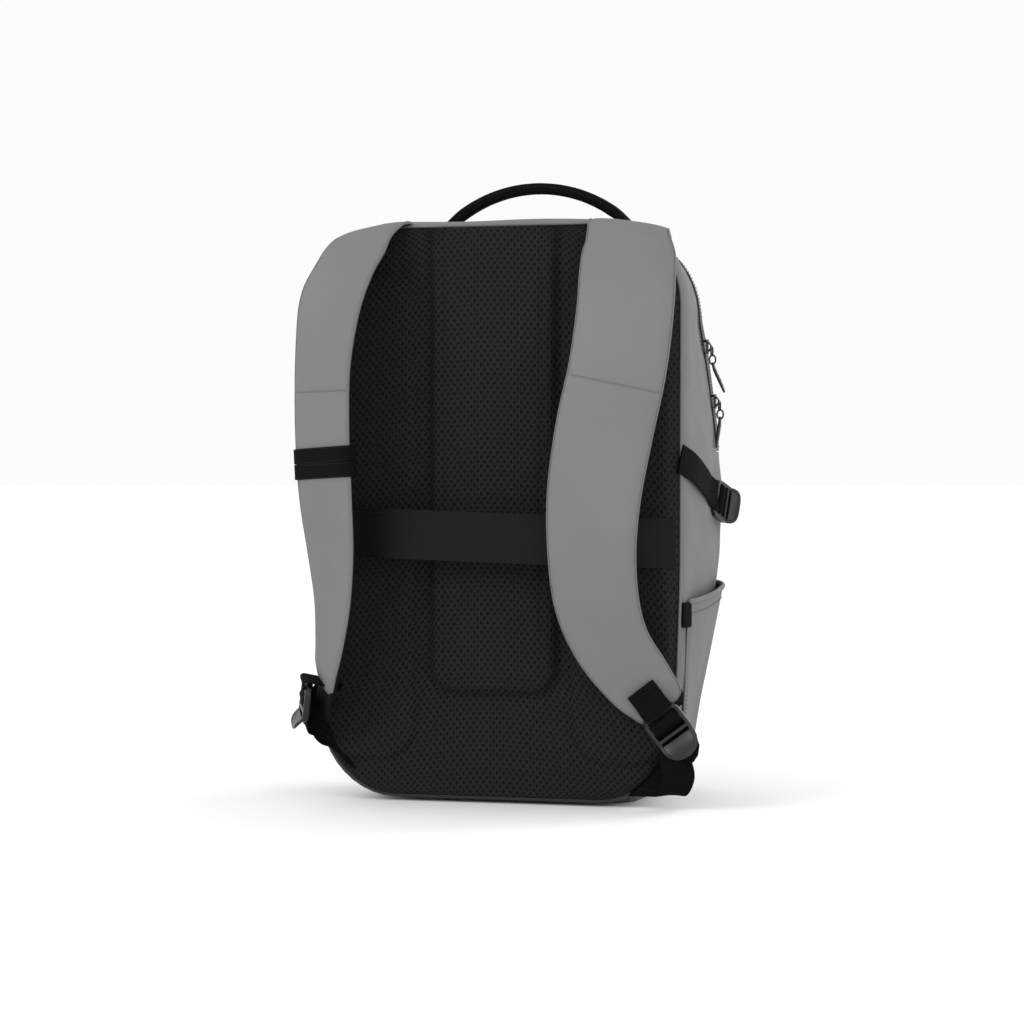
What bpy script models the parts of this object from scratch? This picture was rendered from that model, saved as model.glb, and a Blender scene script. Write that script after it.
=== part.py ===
"""Solar backpack: a laptop backpack with a solar panel on its folding front flap.

The bag stands on its base at z = 0. The wearer's side faces -Y, the solar panel faces +Y and +Z
points up. The origin is the middle of the base. Design values are in millimetres and become
metres where a mesh or a place is made.

The body is one lofted form with a sewn wall all round it. A plane across the main zip and a plane
across the fold line divide that form into the bag and the flap, so that the two always line up.
"""

import math

import bmesh
import bpy
from mathutils import Matrix, Vector

MM = 0.001
GAP = 0.4

# Driving sizes of the bag.
BACK_Y = -80.0
FRONT_Y = 90.0
ZIP_Y = 22.0
FOLD_Z = 284.0
WALL = 3.0
SIDE_X = 157.0
TAPER_START_Z = 200.0
TAPER = 0.06
# The upper front is drawn in by the first of these between the two heights, the foot by the last.
NARROWING, NARROWING_LOW_Z, NARROWING_HIGH_Z = 15.0, 280.0, 390.0
FOOT_NARROWING = 22.0

# Outer form: depth, half width, top, bottom, top corner radius, bottom corner radius.
BODY_RINGS = (
    (BACK_Y, 153.0, 466.0, 5.0, 64.0, 62.0),
    (-72.0, 155.5, 468.0, 5.0, 66.0, 62.0),
    (-20.0, SIDE_X, 463.0, 5.0, 70.0, 58.0),
    (12.0, SIDE_X, 457.0, 5.0, 68.0, 54.0),
    (32.0, SIDE_X, 457.0, 5.0, 68.0, 52.0),
    (50.0, 153.0, 430.0, 6.0, 58.0, 48.0),
    (70.0, 144.0, 361.0, 9.0, 43.0, 44.0),
    (82.0, 132.0, 319.6, 16.0, 27.0, 38.0),
    (FRONT_Y, 118.0, 292.0, 28.0, 13.0, 28.0),
)

# The flat slope of the flap, which carries the solar panel.
SLOPE_FOOT = Vector((0.0, 90.0, 292.0))
SLOPE_HEAD = Vector((0.0, 50.0, 430.0))

# Back padding, one layer on the next.
MESH_THICKNESS = 7.0
PAD_THICKNESS = 6.0
MESH_FACE_Y = BACK_Y - GAP - MESH_THICKNESS
PAD_FACE_Y = MESH_FACE_Y - GAP - PAD_THICKNESS

# Shoulder strap layers, measured from the strap's middle surface towards the wearer's palm side.
LINING_INNER, LINING_OUTER = -6.0, 1.4
COVER_INNER, COVER_OUTER = 2.2, 6.0
WEBBING_THICKNESS = 1.8
STRAP_WEBBING = 25.0
COMPRESSION_WEBBING = 26.0

# Each station: centre x, y, z, turn of the width about the vertical in degrees, half width.
RIGHT_STRAP = (
    (113.5, -96.0, 460.0, 0.0, 33.0),
    (116.5, -104.0, 446.0, 1.0, 37.0),
    (118.5, -117.0, 425.0, 3.0, 38.0),
    (119.0, -127.0, 392.0, 6.0, 38.0),
    (114.5, -133.0, 348.0, 8.0, 38.0),
    (105.0, -137.0, 300.0, 8.0, 38.0),
    (97.0, -138.0, 250.0, 8.0, 36.5),
    (94.5, -135.0, 205.0, 8.0, 34.5),
    (97.0, -129.0, 165.0, 9.0, 33.0),
    (107.0, -120.0, 132.0, 10.0, 30.0),
    (124.0, -110.0, 103.0, 12.0, 26.0),
    (136.0, -104.0, 87.0, 14.0, 20.0),
)
LEFT_STRAP = (
    (-110.0, -98.5, 460.0, -10.0, 31.0),
    (-115.5, -107.5, 446.0, -17.0, 36.0),
    (-121.5, -119.5, 424.0, -26.0, 39.0),
    (-126.0, -128.0, 392.0, -33.0, 39.5),
    (-129.5, -131.0, 350.0, -37.0, 39.0),
    (-129.5, -132.0, 300.0, -37.0, 38.0),
    (-127.0, -132.0, 250.0, -37.0, 37.0),
    (-123.0, -131.0, 205.0, -40.0, 35.0),
    (-122.0, -129.0, 165.0, -45.0, 32.0),
    (-125.0, -126.0, 132.0, -51.0, 28.0),
    (-131.0, -121.0, 104.0, -57.0, 22.0),
)
STRAP_STEPS = 3

SHELL_GREY = (0.215, 0.215, 0.205)
MESH_BLACK = (0.018, 0.018, 0.017)
WEB_BLACK = (0.012, 0.012, 0.011)
PLASTIC_BLACK = (0.02, 0.02, 0.02)


def clear_scene():
    """Empties the scene, so that only the backpack is in it."""
    for old in list(bpy.data.objects):
        bpy.data.objects.remove(old, do_unlink=True)


def new_collection(name):
    made = bpy.data.collections.new(name)
    bpy.context.scene.collection.children.link(made)
    return made


def material(name, colour, roughness, metallic=0.0):
    made = bpy.data.materials.new(name)
    made.use_nodes = True
    shader = made.node_tree.nodes["Principled BSDF"]
    shader.inputs["Base Color"].default_value = (*colour, 1.0)
    shader.inputs["Roughness"].default_value = roughness
    shader.inputs["Metallic"].default_value = metallic
    return made


clear_scene()
BACKPACK = new_collection("solar_backpack")
CUTTERS = new_collection("cutters")
SHELL_FABRIC = material("shell_fabric", SHELL_GREY, 0.75)
AIR_MESH = material("air_mesh", MESH_BLACK, 0.85)
WEBBING = material("webbing", WEB_BLACK, 0.7)
MOULDED = material("moulded_plastic", PLASTIC_BLACK, 0.35)
ZIP_TAPE = material("zip_tape", WEB_BLACK, 0.8)
ZIP_METAL = material("zip_slider", (0.03, 0.03, 0.03), 0.3, 0.8)
BASE_FABRIC = material("base_fabric", (0.015, 0.015, 0.015), 0.6)
SOLAR_FILM = material("solar_film", (0.02, 0.025, 0.035), 0.15)
SOLAR_CELL = material("solar_cell", (0.01, 0.015, 0.04), 0.25)
LINING_CLOTH = material("lining_cloth", (0.05, 0.05, 0.05), 0.8)
STIFFENER = material("stiffener_sheet", (0.08, 0.08, 0.08), 0.5)
BANK_CASE = material("power_bank_case", (0.03, 0.03, 0.032), 0.4)


def add(name, data, finish, parent=None):
    """A named object of the backpack. Its place is kept when it gets a parent."""
    made = bpy.data.objects.new(name, data)
    BACKPACK.objects.link(made)
    if finish is not None:
        data.materials.append(finish)
    if parent is not None:
        made.parent = parent
    return made


def pivot(name, place):
    """An empty on a joint's axis. The pieces of that moving body are its children."""
    made = bpy.data.objects.new(name, None)
    made.location = Vector(place) * MM
    BACKPACK.objects.link(made)
    return made


def put(made, matrix, parent=None):
    """Places an object by a matrix in millimetres, keeping that place under its parent."""
    world = Matrix.Translation(matrix.to_translation() * MM) @ matrix.to_3x3().to_4x4()
    if parent is not None:
        made.parent = parent
        made.matrix_parent_inverse = Matrix.Translation(-parent.location)
    made.matrix_basis = world


def place(x=0.0, y=0.0, z=0.0):
    return Matrix.Translation((x, y, z))


def turned(degrees, axis):
    return Matrix.Rotation(math.radians(degrees), 4, axis)


def frame_of(origin, along, width_hint):
    """A matrix whose Z runs along, whose Y is the width and whose X is the face's outward normal."""
    z_axis = Vector(along).normalized()
    width = Vector(width_hint)
    y_axis = (width - z_axis * width.dot(z_axis)).normalized()
    x_axis = y_axis.cross(z_axis)
    turn = Matrix((x_axis, y_axis, z_axis)).transposed()
    return Matrix.Translation(origin) @ turn.to_4x4()


def add_bevel(made, width, segments=2):
    bevel = made.modifiers.new("edges", "BEVEL")
    bevel.width = width * MM
    bevel.segments = segments
    bevel.limit_method = "ANGLE"
    bevel.angle_limit = math.radians(35)


def add_solidify(made, thickness, offset):
    wall = made.modifiers.new("wall", "SOLIDIFY")
    wall.thickness = thickness * MM
    wall.offset = offset
    wall.use_even_offset = True
    wall.use_rim = True


def add_boolean(made, cutter, operation):
    cut = made.modifiers.new(operation.lower(), "BOOLEAN")
    cut.object = cutter
    cut.operation = operation


def shade(made):
    made.data.shade_smooth()
    made.data.set_sharp_from_angle(angle=math.radians(40))


def box_mesh(name, size):
    mesh = bpy.data.meshes.new(name)
    bm = bmesh.new()
    bmesh.ops.create_cube(bm, size=1.0, matrix=Matrix.Diagonal((*(s * MM for s in size), 1.0)))
    bm.to_mesh(mesh)
    bm.free()
    return mesh


def block(name, size, matrix, finish, parent=None, bevel=0.0, segments=2):
    """A box of a size, centred on the matrix's origin, with rounded edges."""
    made = add(name, box_mesh(name, size), finish)
    put(made, matrix, parent)
    if bevel:
        add_bevel(made, bevel, segments)
    return made


def rod_mesh(name, radius, length, sides=12):
    mesh = bpy.data.meshes.new(name)
    bm = bmesh.new()
    bmesh.ops.create_cone(
        bm,
        cap_ends=True,
        segments=sides,
        radius1=radius * MM,
        radius2=radius * MM,
        depth=length * MM,
    )
    bm.to_mesh(mesh)
    bm.free()
    return mesh


def helper(name, mesh, matrix, parent=None):
    """A cutter, or a shape that a Boolean adds. It isn't a piece of the backpack."""
    made = bpy.data.objects.new(name, mesh)
    CUTTERS.objects.link(made)
    put(made, matrix, parent)
    made.hide_render = True
    made.display_type = "WIRE"
    return made


def cut_box(target, size, matrix, operation="DIFFERENCE", parent=None):
    name = f"{target.name}_{operation.lower()}_{len(CUTTERS.objects)}"
    add_boolean(target, helper(name, box_mesh(name, size), matrix, parent), operation)


def cut_rod(target, radius, length, matrix, operation="DIFFERENCE", parent=None, sides=12):
    name = f"{target.name}_{operation.lower()}_{len(CUTTERS.objects)}"
    rod = helper(name, rod_mesh(name, radius, length, sides), matrix, parent)
    add_boolean(target, rod, operation)


def rounded_outline(half_width, low, high, low_radius, high_radius, steps=5):
    """Points (x, z) round an upright rectangle with rounded corners, from its lower right corner."""
    corners = (
        (half_width - low_radius, low + low_radius, low_radius, -90),
        (half_width - high_radius, high - high_radius, high_radius, 0),
        (high_radius - half_width, high - high_radius, high_radius, 90),
        (low_radius - half_width, low + low_radius, low_radius, 180),
    )
    points = []
    for centre_x, centre_z, radius, start in corners:
        for step in range(steps + 1):
            angle = math.radians(start + 90 * step / steps)
            points.append((centre_x + radius * math.cos(angle), centre_z + radius * math.sin(angle)))
    return points


def tapered(x, z, depth=BACK_Y):
    """The bag draws in towards its base, and in front of its back it draws in above and below."""
    foot = max(0.0, 1 - z / TAPER_START_Z)
    forward = min(1.0, max(0.0, (depth + 70.0) / 80.0))
    upward = min(1.0, max(0.0, (z - NARROWING_LOW_Z) / (NARROWING_HIGH_Z - NARROWING_LOW_Z))) ** 1.2
    drawn_in = (NARROWING * upward + FOOT_NARROWING * foot) * forward
    return x * (1 - TAPER * foot**1.5) - drawn_in * (x / SIDE_X) ** 3


def with_side_points(outline, steps=5):
    """An outline with three more points on each straight side."""
    count = steps + 1
    points = list(outline)
    for start, end in ((3 * count - 1, 3 * count), (count - 1, count)):
        (x0, z0), (x1, z1) = points[start], points[end]
        shares = (0.34, 0.68, 0.84) if z1 > z0 else (0.16, 0.32, 0.66)
        points[end:end] = [(x0 + (x1 - x0) * share, z0 + (z1 - z0) * share) for share in shares]
    return points


def body_ring(depth):
    """Half width, top, bottom and corner radii of the outer form at a depth."""
    for near, far in zip(BODY_RINGS, BODY_RINGS[1:]):
        if near[0] <= depth <= far[0]:
            share = (depth - near[0]) / (far[0] - near[0])
            return tuple(a + (b - a) * share for a, b in zip(near[1:], far[1:]))
    raise ValueError(f"no body at depth {depth}")


def side_x(depth, height):
    """How far out the bag's side is at a depth and a height below its top corners."""
    half_width, _, bottom, _, low_radius = body_ring(depth)
    below = bottom + low_radius - height
    if below > 0:
        half_width -= low_radius - math.sqrt(max(0.0, low_radius**2 - below**2))
    return tapered(half_width, height, depth)


def loft_mesh(name, rings):
    """One closed mesh through rings of points, with a flat cap on each end."""
    mesh = bpy.data.meshes.new(name)
    bm = bmesh.new()
    loops = [[bm.verts.new(Vector(point) * MM) for point in ring] for ring in rings]
    for near, far in zip(loops, loops[1:]):
        for first in range(len(near)):
            second = (first + 1) % len(near)
            bm.faces.new((near[first], near[second], far[second], far[first]))
    bm.faces.new(loops[0])
    bm.faces.new(loops[-1])
    bmesh.ops.recalc_face_normals(bm, faces=bm.faces)
    bm.to_mesh(mesh)
    bm.free()
    return mesh


def smooth_line(points, steps):
    """Catmull-Rom points through a few hand-placed ones, steps to each span."""
    ends = [2 * points[0] - points[1], *points, 2 * points[-1] - points[-2]]
    line = []
    for i in range(1, len(ends) - 2):
        before, start, end, after = ends[i - 1 : i + 3]
        for step in range(steps):
            t = step / steps
            line.append(
                0.5
                * (
                    2 * start
                    + (end - before) * t
                    + (2 * before - 5 * start + 4 * end - after) * t**2
                    + (3 * start - before - 3 * end + after) * t**3
                )
            )
    return [*line, points[-1]]


def flat_plate(name, outline, thickness, face_y, finish, parent=None):
    """An upright plate of an outline in x and z. face_y is its face on the wearer's side."""
    curve = bpy.data.curves.new(name, "CURVE")
    curve.dimensions = "2D"
    curve.fill_mode = "BOTH"
    curve.extrude = thickness / 2 * MM
    spline = curve.splines.new("POLY")
    spline.points.add(len(outline) - 1)
    for point, (x, z) in zip(spline.points, outline):
        point.co = (x * MM, z * MM, 0.0, 1.0)
    spline.use_cyclic_u = True
    made = add(name, curve, finish)
    put(made, place(y=face_y + thickness / 2) @ turned(90, "X"), parent)
    return made


def band(name, line, width, thickness, matrix, finish, parent=None):
    """Webbing that follows a line in the matrix's own XY plane, and is as wide as given along its Z."""
    curve = bpy.data.curves.new(name, "CURVE")
    curve.dimensions = "2D"
    curve.fill_mode = "NONE"
    curve.extrude = width / 2 * MM
    spline = curve.splines.new("POLY")
    spline.points.add(len(line) - 1)
    for point, (x, y) in zip(spline.points, line):
        point.co = (x * MM, y * MM, 0.0, 1.0)
    made = add(name, curve, finish)
    put(made, matrix, parent)
    add_solidify(made, thickness, 0.0)
    return made


def tube(name, points, radius, finish, parent=None, closed=False, resolution=2):
    curve = bpy.data.curves.new(name, "CURVE")
    curve.dimensions = "3D"
    curve.twist_mode = "Z_UP"
    curve.bevel_depth = radius * MM
    curve.bevel_resolution = resolution
    curve.use_fill_caps = not closed
    spline = curve.splines.new("POLY")
    spline.points.add(len(points) - 1)
    for point, xyz in zip(spline.points, points):
        point.co = (*(Vector(xyz) * MM), 1.0)
    spline.use_cyclic_u = closed
    made = add(name, curve, finish)
    put(made, Matrix.Identity(4), parent)
    return made


# The bag's body and its flap.


def body_form(name):
    rings = []
    for depth, half_width, top, bottom, high_radius, low_radius in BODY_RINGS:
        outline = rounded_outline(half_width, bottom, top, low_radius, high_radius)
        outline = with_side_points(outline)
        rings.append([(tapered(x, z, depth), depth, z) for x, z in outline])
    return loft_mesh(name, rings)


def make_body():
    """The sewn shell: the bag keeps its back, base and lower front, the flap its upper front."""
    flap_deep, flap_high = 120.0, 260.0
    shell = add("main_shell", body_form("main_shell"), SHELL_FABRIC)
    add_solidify(shell, WALL, -1.0)
    region = place(y=ZIP_Y - GAP + flap_deep / 2, z=FOLD_Z - GAP + flap_high / 2)
    cut_box(shell, (400.0, flap_deep, flap_high), region)
    flap = add("flap_shell", body_form("flap_shell"), SHELL_FABRIC)
    put(flap, Matrix.Identity(4), FLAP_PIVOT)
    add_solidify(flap, WALL, -1.0)
    region = place(y=ZIP_Y + GAP + flap_deep / 2, z=FOLD_Z + GAP + flap_high / 2)
    cut_box(flap, (400.0, flap_deep, flap_high), region, "INTERSECT", FLAP_PIVOT)


def make_base():
    """A coated base panel under the shell, which the bag stands on."""
    outline = rounded_outline(104.0, -62.0, 62.0, 26.0, 26.0, steps=4)
    curve_plate = flat_plate("base_panel", outline, 4.5, 0.0, BASE_FABRIC)
    put(curve_plate, place(z=2.25))


def make_back():
    """Stiffener inside, then foam and mesh, the raised pads, and the piping round the back."""
    half_width, top, bottom, high_radius, low_radius = body_ring(BACK_Y)
    inset = 4.5
    outline = rounded_outline(
        half_width - inset,
        bottom + inset,
        top - inset,
        low_radius - inset,
        high_radius - inset,
    )
    outline = [(tapered(x, z), z) for x, z in outline]
    flat_plate("back_mesh_panel", outline, MESH_THICKNESS, MESH_FACE_Y, AIR_MESH)
    centre = rounded_outline(53.0, 88.0, 448.0, 20.0, 14.0, steps=4)
    flat_plate("back_centre_pad", centre, PAD_THICKNESS, PAD_FACE_Y, AIR_MESH)
    for side, name in ((1, "back_side_pad_right"), (-1, "back_side_pad_left")):
        column = rounded_outline(25.0, 48.0, 430.0, 21.0, 20.0, steps=4)
        column = [(x + side * 112.0, z) for x, z in column]
        flat_plate(name, column, PAD_THICKNESS, PAD_FACE_Y, AIR_MESH)
    piping = rounded_outline(half_width, bottom + 1.0, top, low_radius, high_radius)
    line = [(tapered(x, z), BACK_Y - 3.0, z) for x, z in piping]
    tube("back_piping", line, 2.2, WEBBING, closed=True)
    sheet = rounded_outline(128.0, 24.0, 440.0, 30.0, 40.0, steps=4)
    flat_plate("back_frame_sheet", sheet, 1.6, BACK_Y + WALL + GAP, STIFFENER)


def make_trolley_band():
    """The wide band sewn across the back, which slips over a suitcase's handle."""
    half = [(149.5, -88.8), (143.0, -92.6), (134.0, -97.4), (108.0, -108.0)]
    half += [(84.0, -116.0), (62.0, -118.0), (30.0, -118.5)]
    control = [Vector((x, y, 0)) for x, y in half]
    control += [Vector((0.0, -118.5, 0.0))]
    control += [Vector((-x, y, 0)) for x, y in reversed(half)]
    line = [(p.x, p.y) for p in smooth_line(control, 2)]
    band("trolley_band", line, 48.0, 1.8, place(z=214.0), WEBBING)


def pocket_grid(name, columns, rows, shape):
    """A grid whose points a formula places, before its wall gets a thickness."""
    mesh = bpy.data.meshes.new(name)
    bm = bmesh.new()
    bmesh.ops.create_grid(bm, x_segments=columns, y_segments=rows, size=0.5)
    for vert in bm.verts:
        vert.co = Vector(shape(vert.co.x + 0.5, vert.co.y + 0.5)) * MM
    bm.to_mesh(mesh)
    bm.free()
    return mesh


SIDE_POCKET_LOW, SIDE_POCKET_HIGH = 30.0, 176.0
SIDE_POCKET_BACK, SIDE_POCKET_FRONT = -70.0, 50.0
SIDE_POCKET_BULGE = 9.0


def side_pocket_point(across, up, clear=1.5):
    """A point of a side pocket's panel: flush with the bag at its seams, open at its mouth."""
    depth = SIDE_POCKET_BACK + (SIDE_POCKET_FRONT - SIDE_POCKET_BACK) * across
    mouth_drop = 11.0 * (1 - across)
    height = SIDE_POCKET_LOW + (SIDE_POCKET_HIGH - mouth_drop - SIDE_POCKET_LOW) * up
    belly = math.sin(math.pi * across) ** 0.6 * up**0.7
    return (side_x(depth, height) + clear + SIDE_POCKET_BULGE * belly, depth, height)


def make_side_pockets():
    for side, name in ((1, "right"), (-1, "left")):

        def shape(across, up, side=side):
            x, y, z = side_pocket_point(across, up)
            return (side * x, y, z)

        mesh = pocket_grid(f"side_pocket_{name}", 8, 9, shape)
        pocket = add(f"side_pocket_{name}", mesh, SHELL_FABRIC)
        wall = pocket.modifiers.new("wall", "SOLIDIFY")
        wall.thickness = 1.6 * MM
        wall.offset = side
        tab_x = side_x(-73.0, 155.0) + 1.6
        matrix = place(side * (tab_x + 0.4), -73.5, 153.0)
        block(f"pocket_tab_{name}", (1.6, 5.0, 20.0), matrix, WEBBING, bevel=0.4, segments=1)


FRONT_POCKET_HALF = 104.0
FRONT_POCKET_LOW, FRONT_POCKET_HIGH = 46.0, 246.0
FRONT_POCKET_BULGE = 18.0


def front_pocket_depth(across, up):
    """How far forward the front pocket's panel stands: flat at its seams, bellied between them."""
    belly = math.sin(math.pi * across) ** 0.4 * min(1.0, 3.2 * up) ** 0.8
    return FRONT_Y + GAP + FRONT_POCKET_BULGE * belly * (1.0 - 0.15 * up**4)


def make_front_pocket():
    """A bellied slip pocket on the lower front, with bound webbing along its open mouth."""

    def shape(across, up):
        x = (2 * across - 1) * FRONT_POCKET_HALF
        z = FRONT_POCKET_LOW + (FRONT_POCKET_HIGH - FRONT_POCKET_LOW) * up
        return (x, front_pocket_depth(across, up), z)

    pocket = add("front_pocket", pocket_grid("front_pocket", 12, 8, shape), SHELL_FABRIC)
    wall = pocket.modifiers.new("wall", "SOLIDIFY")
    wall.thickness = 1.8 * MM
    wall.offset = -1.0
    line = []
    for step in range(1, 12):
        x, y, _ = shape(step / 12, 1.0)
        line.append((x, y + 4.0))
    band("front_pocket_hem", line, 11.0, 1.2, place(z=FRONT_POCKET_HIGH - 6.0), WEBBING)


def make_interior():
    """The padded laptop divider and the pocket that holds the power bank."""
    rise = 235.0
    block("laptop_divider", (234.0, 5.0, rise), place(0.0, -42.0, 20.0 + rise / 2), LINING_CLOTH, bevel=1.5, segments=1)
    pocket = block("power_pocket", (78.0, 20.6, 66.0), place(60.0, -28.8, 183.0), LINING_CLOTH)
    cut_box(pocket, (74.0, 16.6, 66.0), place(60.0, -28.8, 185.0))
    bank = block("power_bank", (70.0, 14.0, 112.0), place(60.0, -28.8, 208.4), BANK_CASE, BANK_PIVOT, 4.0, 3)
    cut_box(bank, (13.6, 5.4, 14.0), place(44.0, -28.8, 261.0), parent=BANK_PIVOT)
    cut_box(bank, (11.0, 7.0, 6.0), place(74.0, -21.0, 250.0), parent=BANK_PIVOT)
    block("power_button", (10.2, 3.6, 5.2), place(74.0, -21.6, 250.0), MOULDED, BUTTON_PIVOT, 0.6, 1)


def make_solar_panel():
    """The panel on the flap's slope: a border, a laminate, the cells in it, and the box behind."""
    up = (SLOPE_HEAD - SLOPE_FOOT).normalized()
    middle = (SLOPE_FOOT + SLOPE_HEAD) / 2
    slope = frame_of(middle, up, (1.0, 0.0, 0.0))
    # In the slope's frame X points into the bag, Y is the width and Z is up the slope.
    outward = -1.0
    border = block("solar_border", (2.4, 206.0, 136.0), slope @ place(x=outward * 1.7), WEBBING, FLAP_PIVOT, 0.6, 1)
    cut_box(border, (6.0, 190.0, 120.0), slope @ place(x=outward * 1.7), parent=FLAP_PIVOT)
    laminate = block(
        "solar_laminate", (2.6, 189.0, 119.0), slope @ place(x=outward * 1.8), SOLAR_FILM, FLAP_PIVOT
    )
    columns, rows, cell, pitch = 3, 2, 55.0, 59.0
    for column in range(columns):
        for row in range(rows):
            across = (column - (columns - 1) / 2) * (pitch + 1.5)
            along = (row - (rows - 1) / 2) * (pitch - 1.0)
            seat = slope @ place(outward * 2.9, across, along)
            cut_box(laminate, (1.4, cell + 1.0, cell + 1.0), seat, parent=FLAP_PIVOT)
            name = f"solar_cell_{row * columns + column + 1}"
            seat = slope @ place(outward * 2.85, across, along)
            block(name, (0.5, cell, cell), seat, SOLAR_CELL, FLAP_PIVOT)
    seat = slope @ place(WALL + GAP + 6.1, 0.0, -20.0)
    box = block("junction_box", (12.0, 54.0, 30.0), seat, MOULDED, FLAP_PIVOT, 1.5)
    cut_box(box, (6.6, 14.0, 13.4), seat @ place(y=SOCKET_SIDE * 21.5), parent=FLAP_PIVOT)


def arch_line(depth, offset):
    """The line of the main zip: up one side, over the top and down the other."""
    half_width, top, bottom, high_radius, low_radius = body_ring(depth)
    form = with_side_points(rounded_outline(half_width, bottom, top, low_radius, high_radius))
    arc = with_side_points(
        rounded_outline(half_width + offset, bottom, top + offset, low_radius, high_radius + offset)
    )
    line = []
    for (form_x, form_z), (x, z) in zip(form, arc):
        if form_z > FOLD_Z + 10.0:
            line.append((x + tapered(form_x, form_z, depth) - form_x, z))
    foot = FOLD_Z + 4.0
    return [(half_width + offset, foot), *line, (-half_width - offset, foot)]


def make_main_zip():
    """Two tapes that follow the parting line, and the coil between them."""
    width = 9.0
    upright = turned(90, "X")
    offset = 0.8
    line = arch_line(ZIP_Y, offset)
    band("main_zip_tape_bag", line, width, 0.6, place(y=ZIP_Y - GAP - width / 2) @ upright, ZIP_TAPE)
    band("main_zip_tape_flap", line, width, 0.6, place(y=ZIP_Y + GAP + width / 2) @ upright, ZIP_TAPE, FLAP_PIVOT)
    coil = [(x, ZIP_Y - 0.9, z) for x, z in arch_line(ZIP_Y, 2.3)]
    tube("main_zip_coil", coil, 0.8, ZIP_TAPE)


RING_RADIUS, RING_WIRE = 3.2, 0.8
LUG_OUT = 8.2


def make_slider(name, pull_name, seat, slider_pivot, pull_pivot):
    """A zip slider and its hanging pull. The seat's X points out of the bag and its Z points up."""
    body = block(name, (4.6, 8.4, 12.0), seat @ place(x=3.8), ZIP_METAL, slider_pivot, 1.0, 1)
    cut_box(body, (3.6, 3.8, 16.0), seat @ place(x=1.8), parent=slider_pivot)
    cut_box(body, (6.0, 2.2, 5.4), seat @ place(x=7.6), "UNION", slider_pivot)
    across = seat @ place(x=LUG_OUT) @ turned(90, "X")
    cut_rod(body, 1.3, 8.0, across, parent=slider_pivot)
    ring_seat = seat @ place(LUG_OUT, 0.0, -RING_RADIUS) @ turned(90, "Y")
    mesh = bpy.data.meshes.new(pull_name)
    bm = bmesh.new()
    # The ring is a small tube bent round its own centre.
    turns, sides = 16, 6
    loops = []
    for i in range(turns):
        around = 2 * math.pi * i / turns
        loop = []
        for j in range(sides):
            tilt = 2 * math.pi * j / sides
            reach = RING_RADIUS + RING_WIRE * math.cos(tilt)
            spot = (reach * math.cos(around), reach * math.sin(around), RING_WIRE * math.sin(tilt))
            loop.append(bm.verts.new(Vector(spot) * MM))
        loops.append(loop)
    for i in range(turns):
        near, far = loops[i], loops[(i + 1) % turns]
        for j in range(sides):
            k = (j + 1) % sides
            bm.faces.new((near[j], near[k], far[k], far[j]))
    bmesh.ops.recalc_face_normals(bm, faces=bm.faces)
    bm.to_mesh(mesh)
    bm.free()
    pull = add(pull_name, mesh, MOULDED)
    put(pull, ring_seat, pull_pivot)
    blade = seat @ place(LUG_OUT, 0.0, -2 * RING_RADIUS - 14.87)
    cut_box(pull, (2.3, 5.4, 30.0), blade, "UNION", pull_pivot)


def ladder_lock(name, seat, width, parent):
    """A moulded ladder lock: two rails, a sewing bar, two ladder bars and a thumb tab.

    The seat's origin is on the sewing bar, its X points out of the face, Y is the width and -Z is
    the way the webbing runs.
    """
    rail, bar = 4.0, 4.0
    long = 30.0
    lock = block(name, (5.6, width + 2 * rail, long), seat @ place(z=-long / 2 + 2.0), MOULDED, parent, 1.2, 1)
    slots = ((-5.0, 6.2), (-14.6, 5.0), (-22.6, 3.0))
    for middle, tall in slots:
        cut_box(lock, (12.0, width + 1.0, tall), seat @ place(z=middle), parent=parent)
    tab = seat @ place(0.9, 0.0, 3.0 - long) @ turned(-22, "Y") @ place(z=-5.0)
    cut_box(lock, (bar, width - 1.0, 12.0), tab, "UNION", parent)
    return lock


# The straps.


def strap_stations(control):
    """Centre, width direction, outward normal and half width along a strap."""
    centres = smooth_line([Vector(row[:3]) for row in control], STRAP_STEPS)
    others = smooth_line([Vector((row[3], row[4], 0.0)) for row in control], STRAP_STEPS)
    stations = []
    for i, centre in enumerate(centres):
        along = (centres[min(i + 1, len(centres) - 1)] - centres[max(i - 1, 0)]).normalized()
        turn = math.radians(others[i].x)
        width = Vector((math.cos(turn), math.sin(turn), 0.0))
        width = (width - along * width.dot(along)).normalized()
        stations.append((centre, width, along.cross(width), others[i].y))
    return stations


def layer(name, stations, inner, outer, narrower, finish, parent, chamfer=1.2):
    """One layer of a padded strap, with its long edges eased."""
    spread = (-1.0, -0.5, 0.0, 0.5, 1.0)
    rings = []
    for centre, width, normal, half in stations:
        reach = half - narrower
        flat = [(reach - chamfer) * share for share in spread]
        profile = [(-reach, inner + chamfer), (-reach, outer - chamfer)]
        profile += [(across, outer) for across in flat]
        profile += [(reach, outer - chamfer), (reach, inner + chamfer)]
        profile += [(across, inner) for across in reversed(flat)]
        rings.append([centre + width * across + normal * out for across, out in profile])
    made = add(name, loft_mesh(name, rings), finish)
    put(made, Matrix.Identity(4), parent)
    return made


def ribbon(name, points, hint, parent):
    """A length of strap webbing through a few points. The hint is the way its width runs."""
    line = smooth_line([Vector(point) for point in points], 2)
    rings = []
    for i, centre in enumerate(line):
        along = (line[min(i + 1, len(line) - 1)] - line[max(i - 1, 0)]).normalized()
        width = (hint - along * hint.dot(along)).normalized() * (STRAP_WEBBING / 2)
        normal = along.cross(width).normalized() * (WEBBING_THICKNESS / 2)
        corners = ((-1, -1), (-1, 1), (1, 1), (1, -1))
        rings.append([centre + width * a + normal * b for a, b in corners])
    made = add(name, loft_mesh(name, rings), WEBBING)
    put(made, Matrix.Identity(4), parent)


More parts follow.
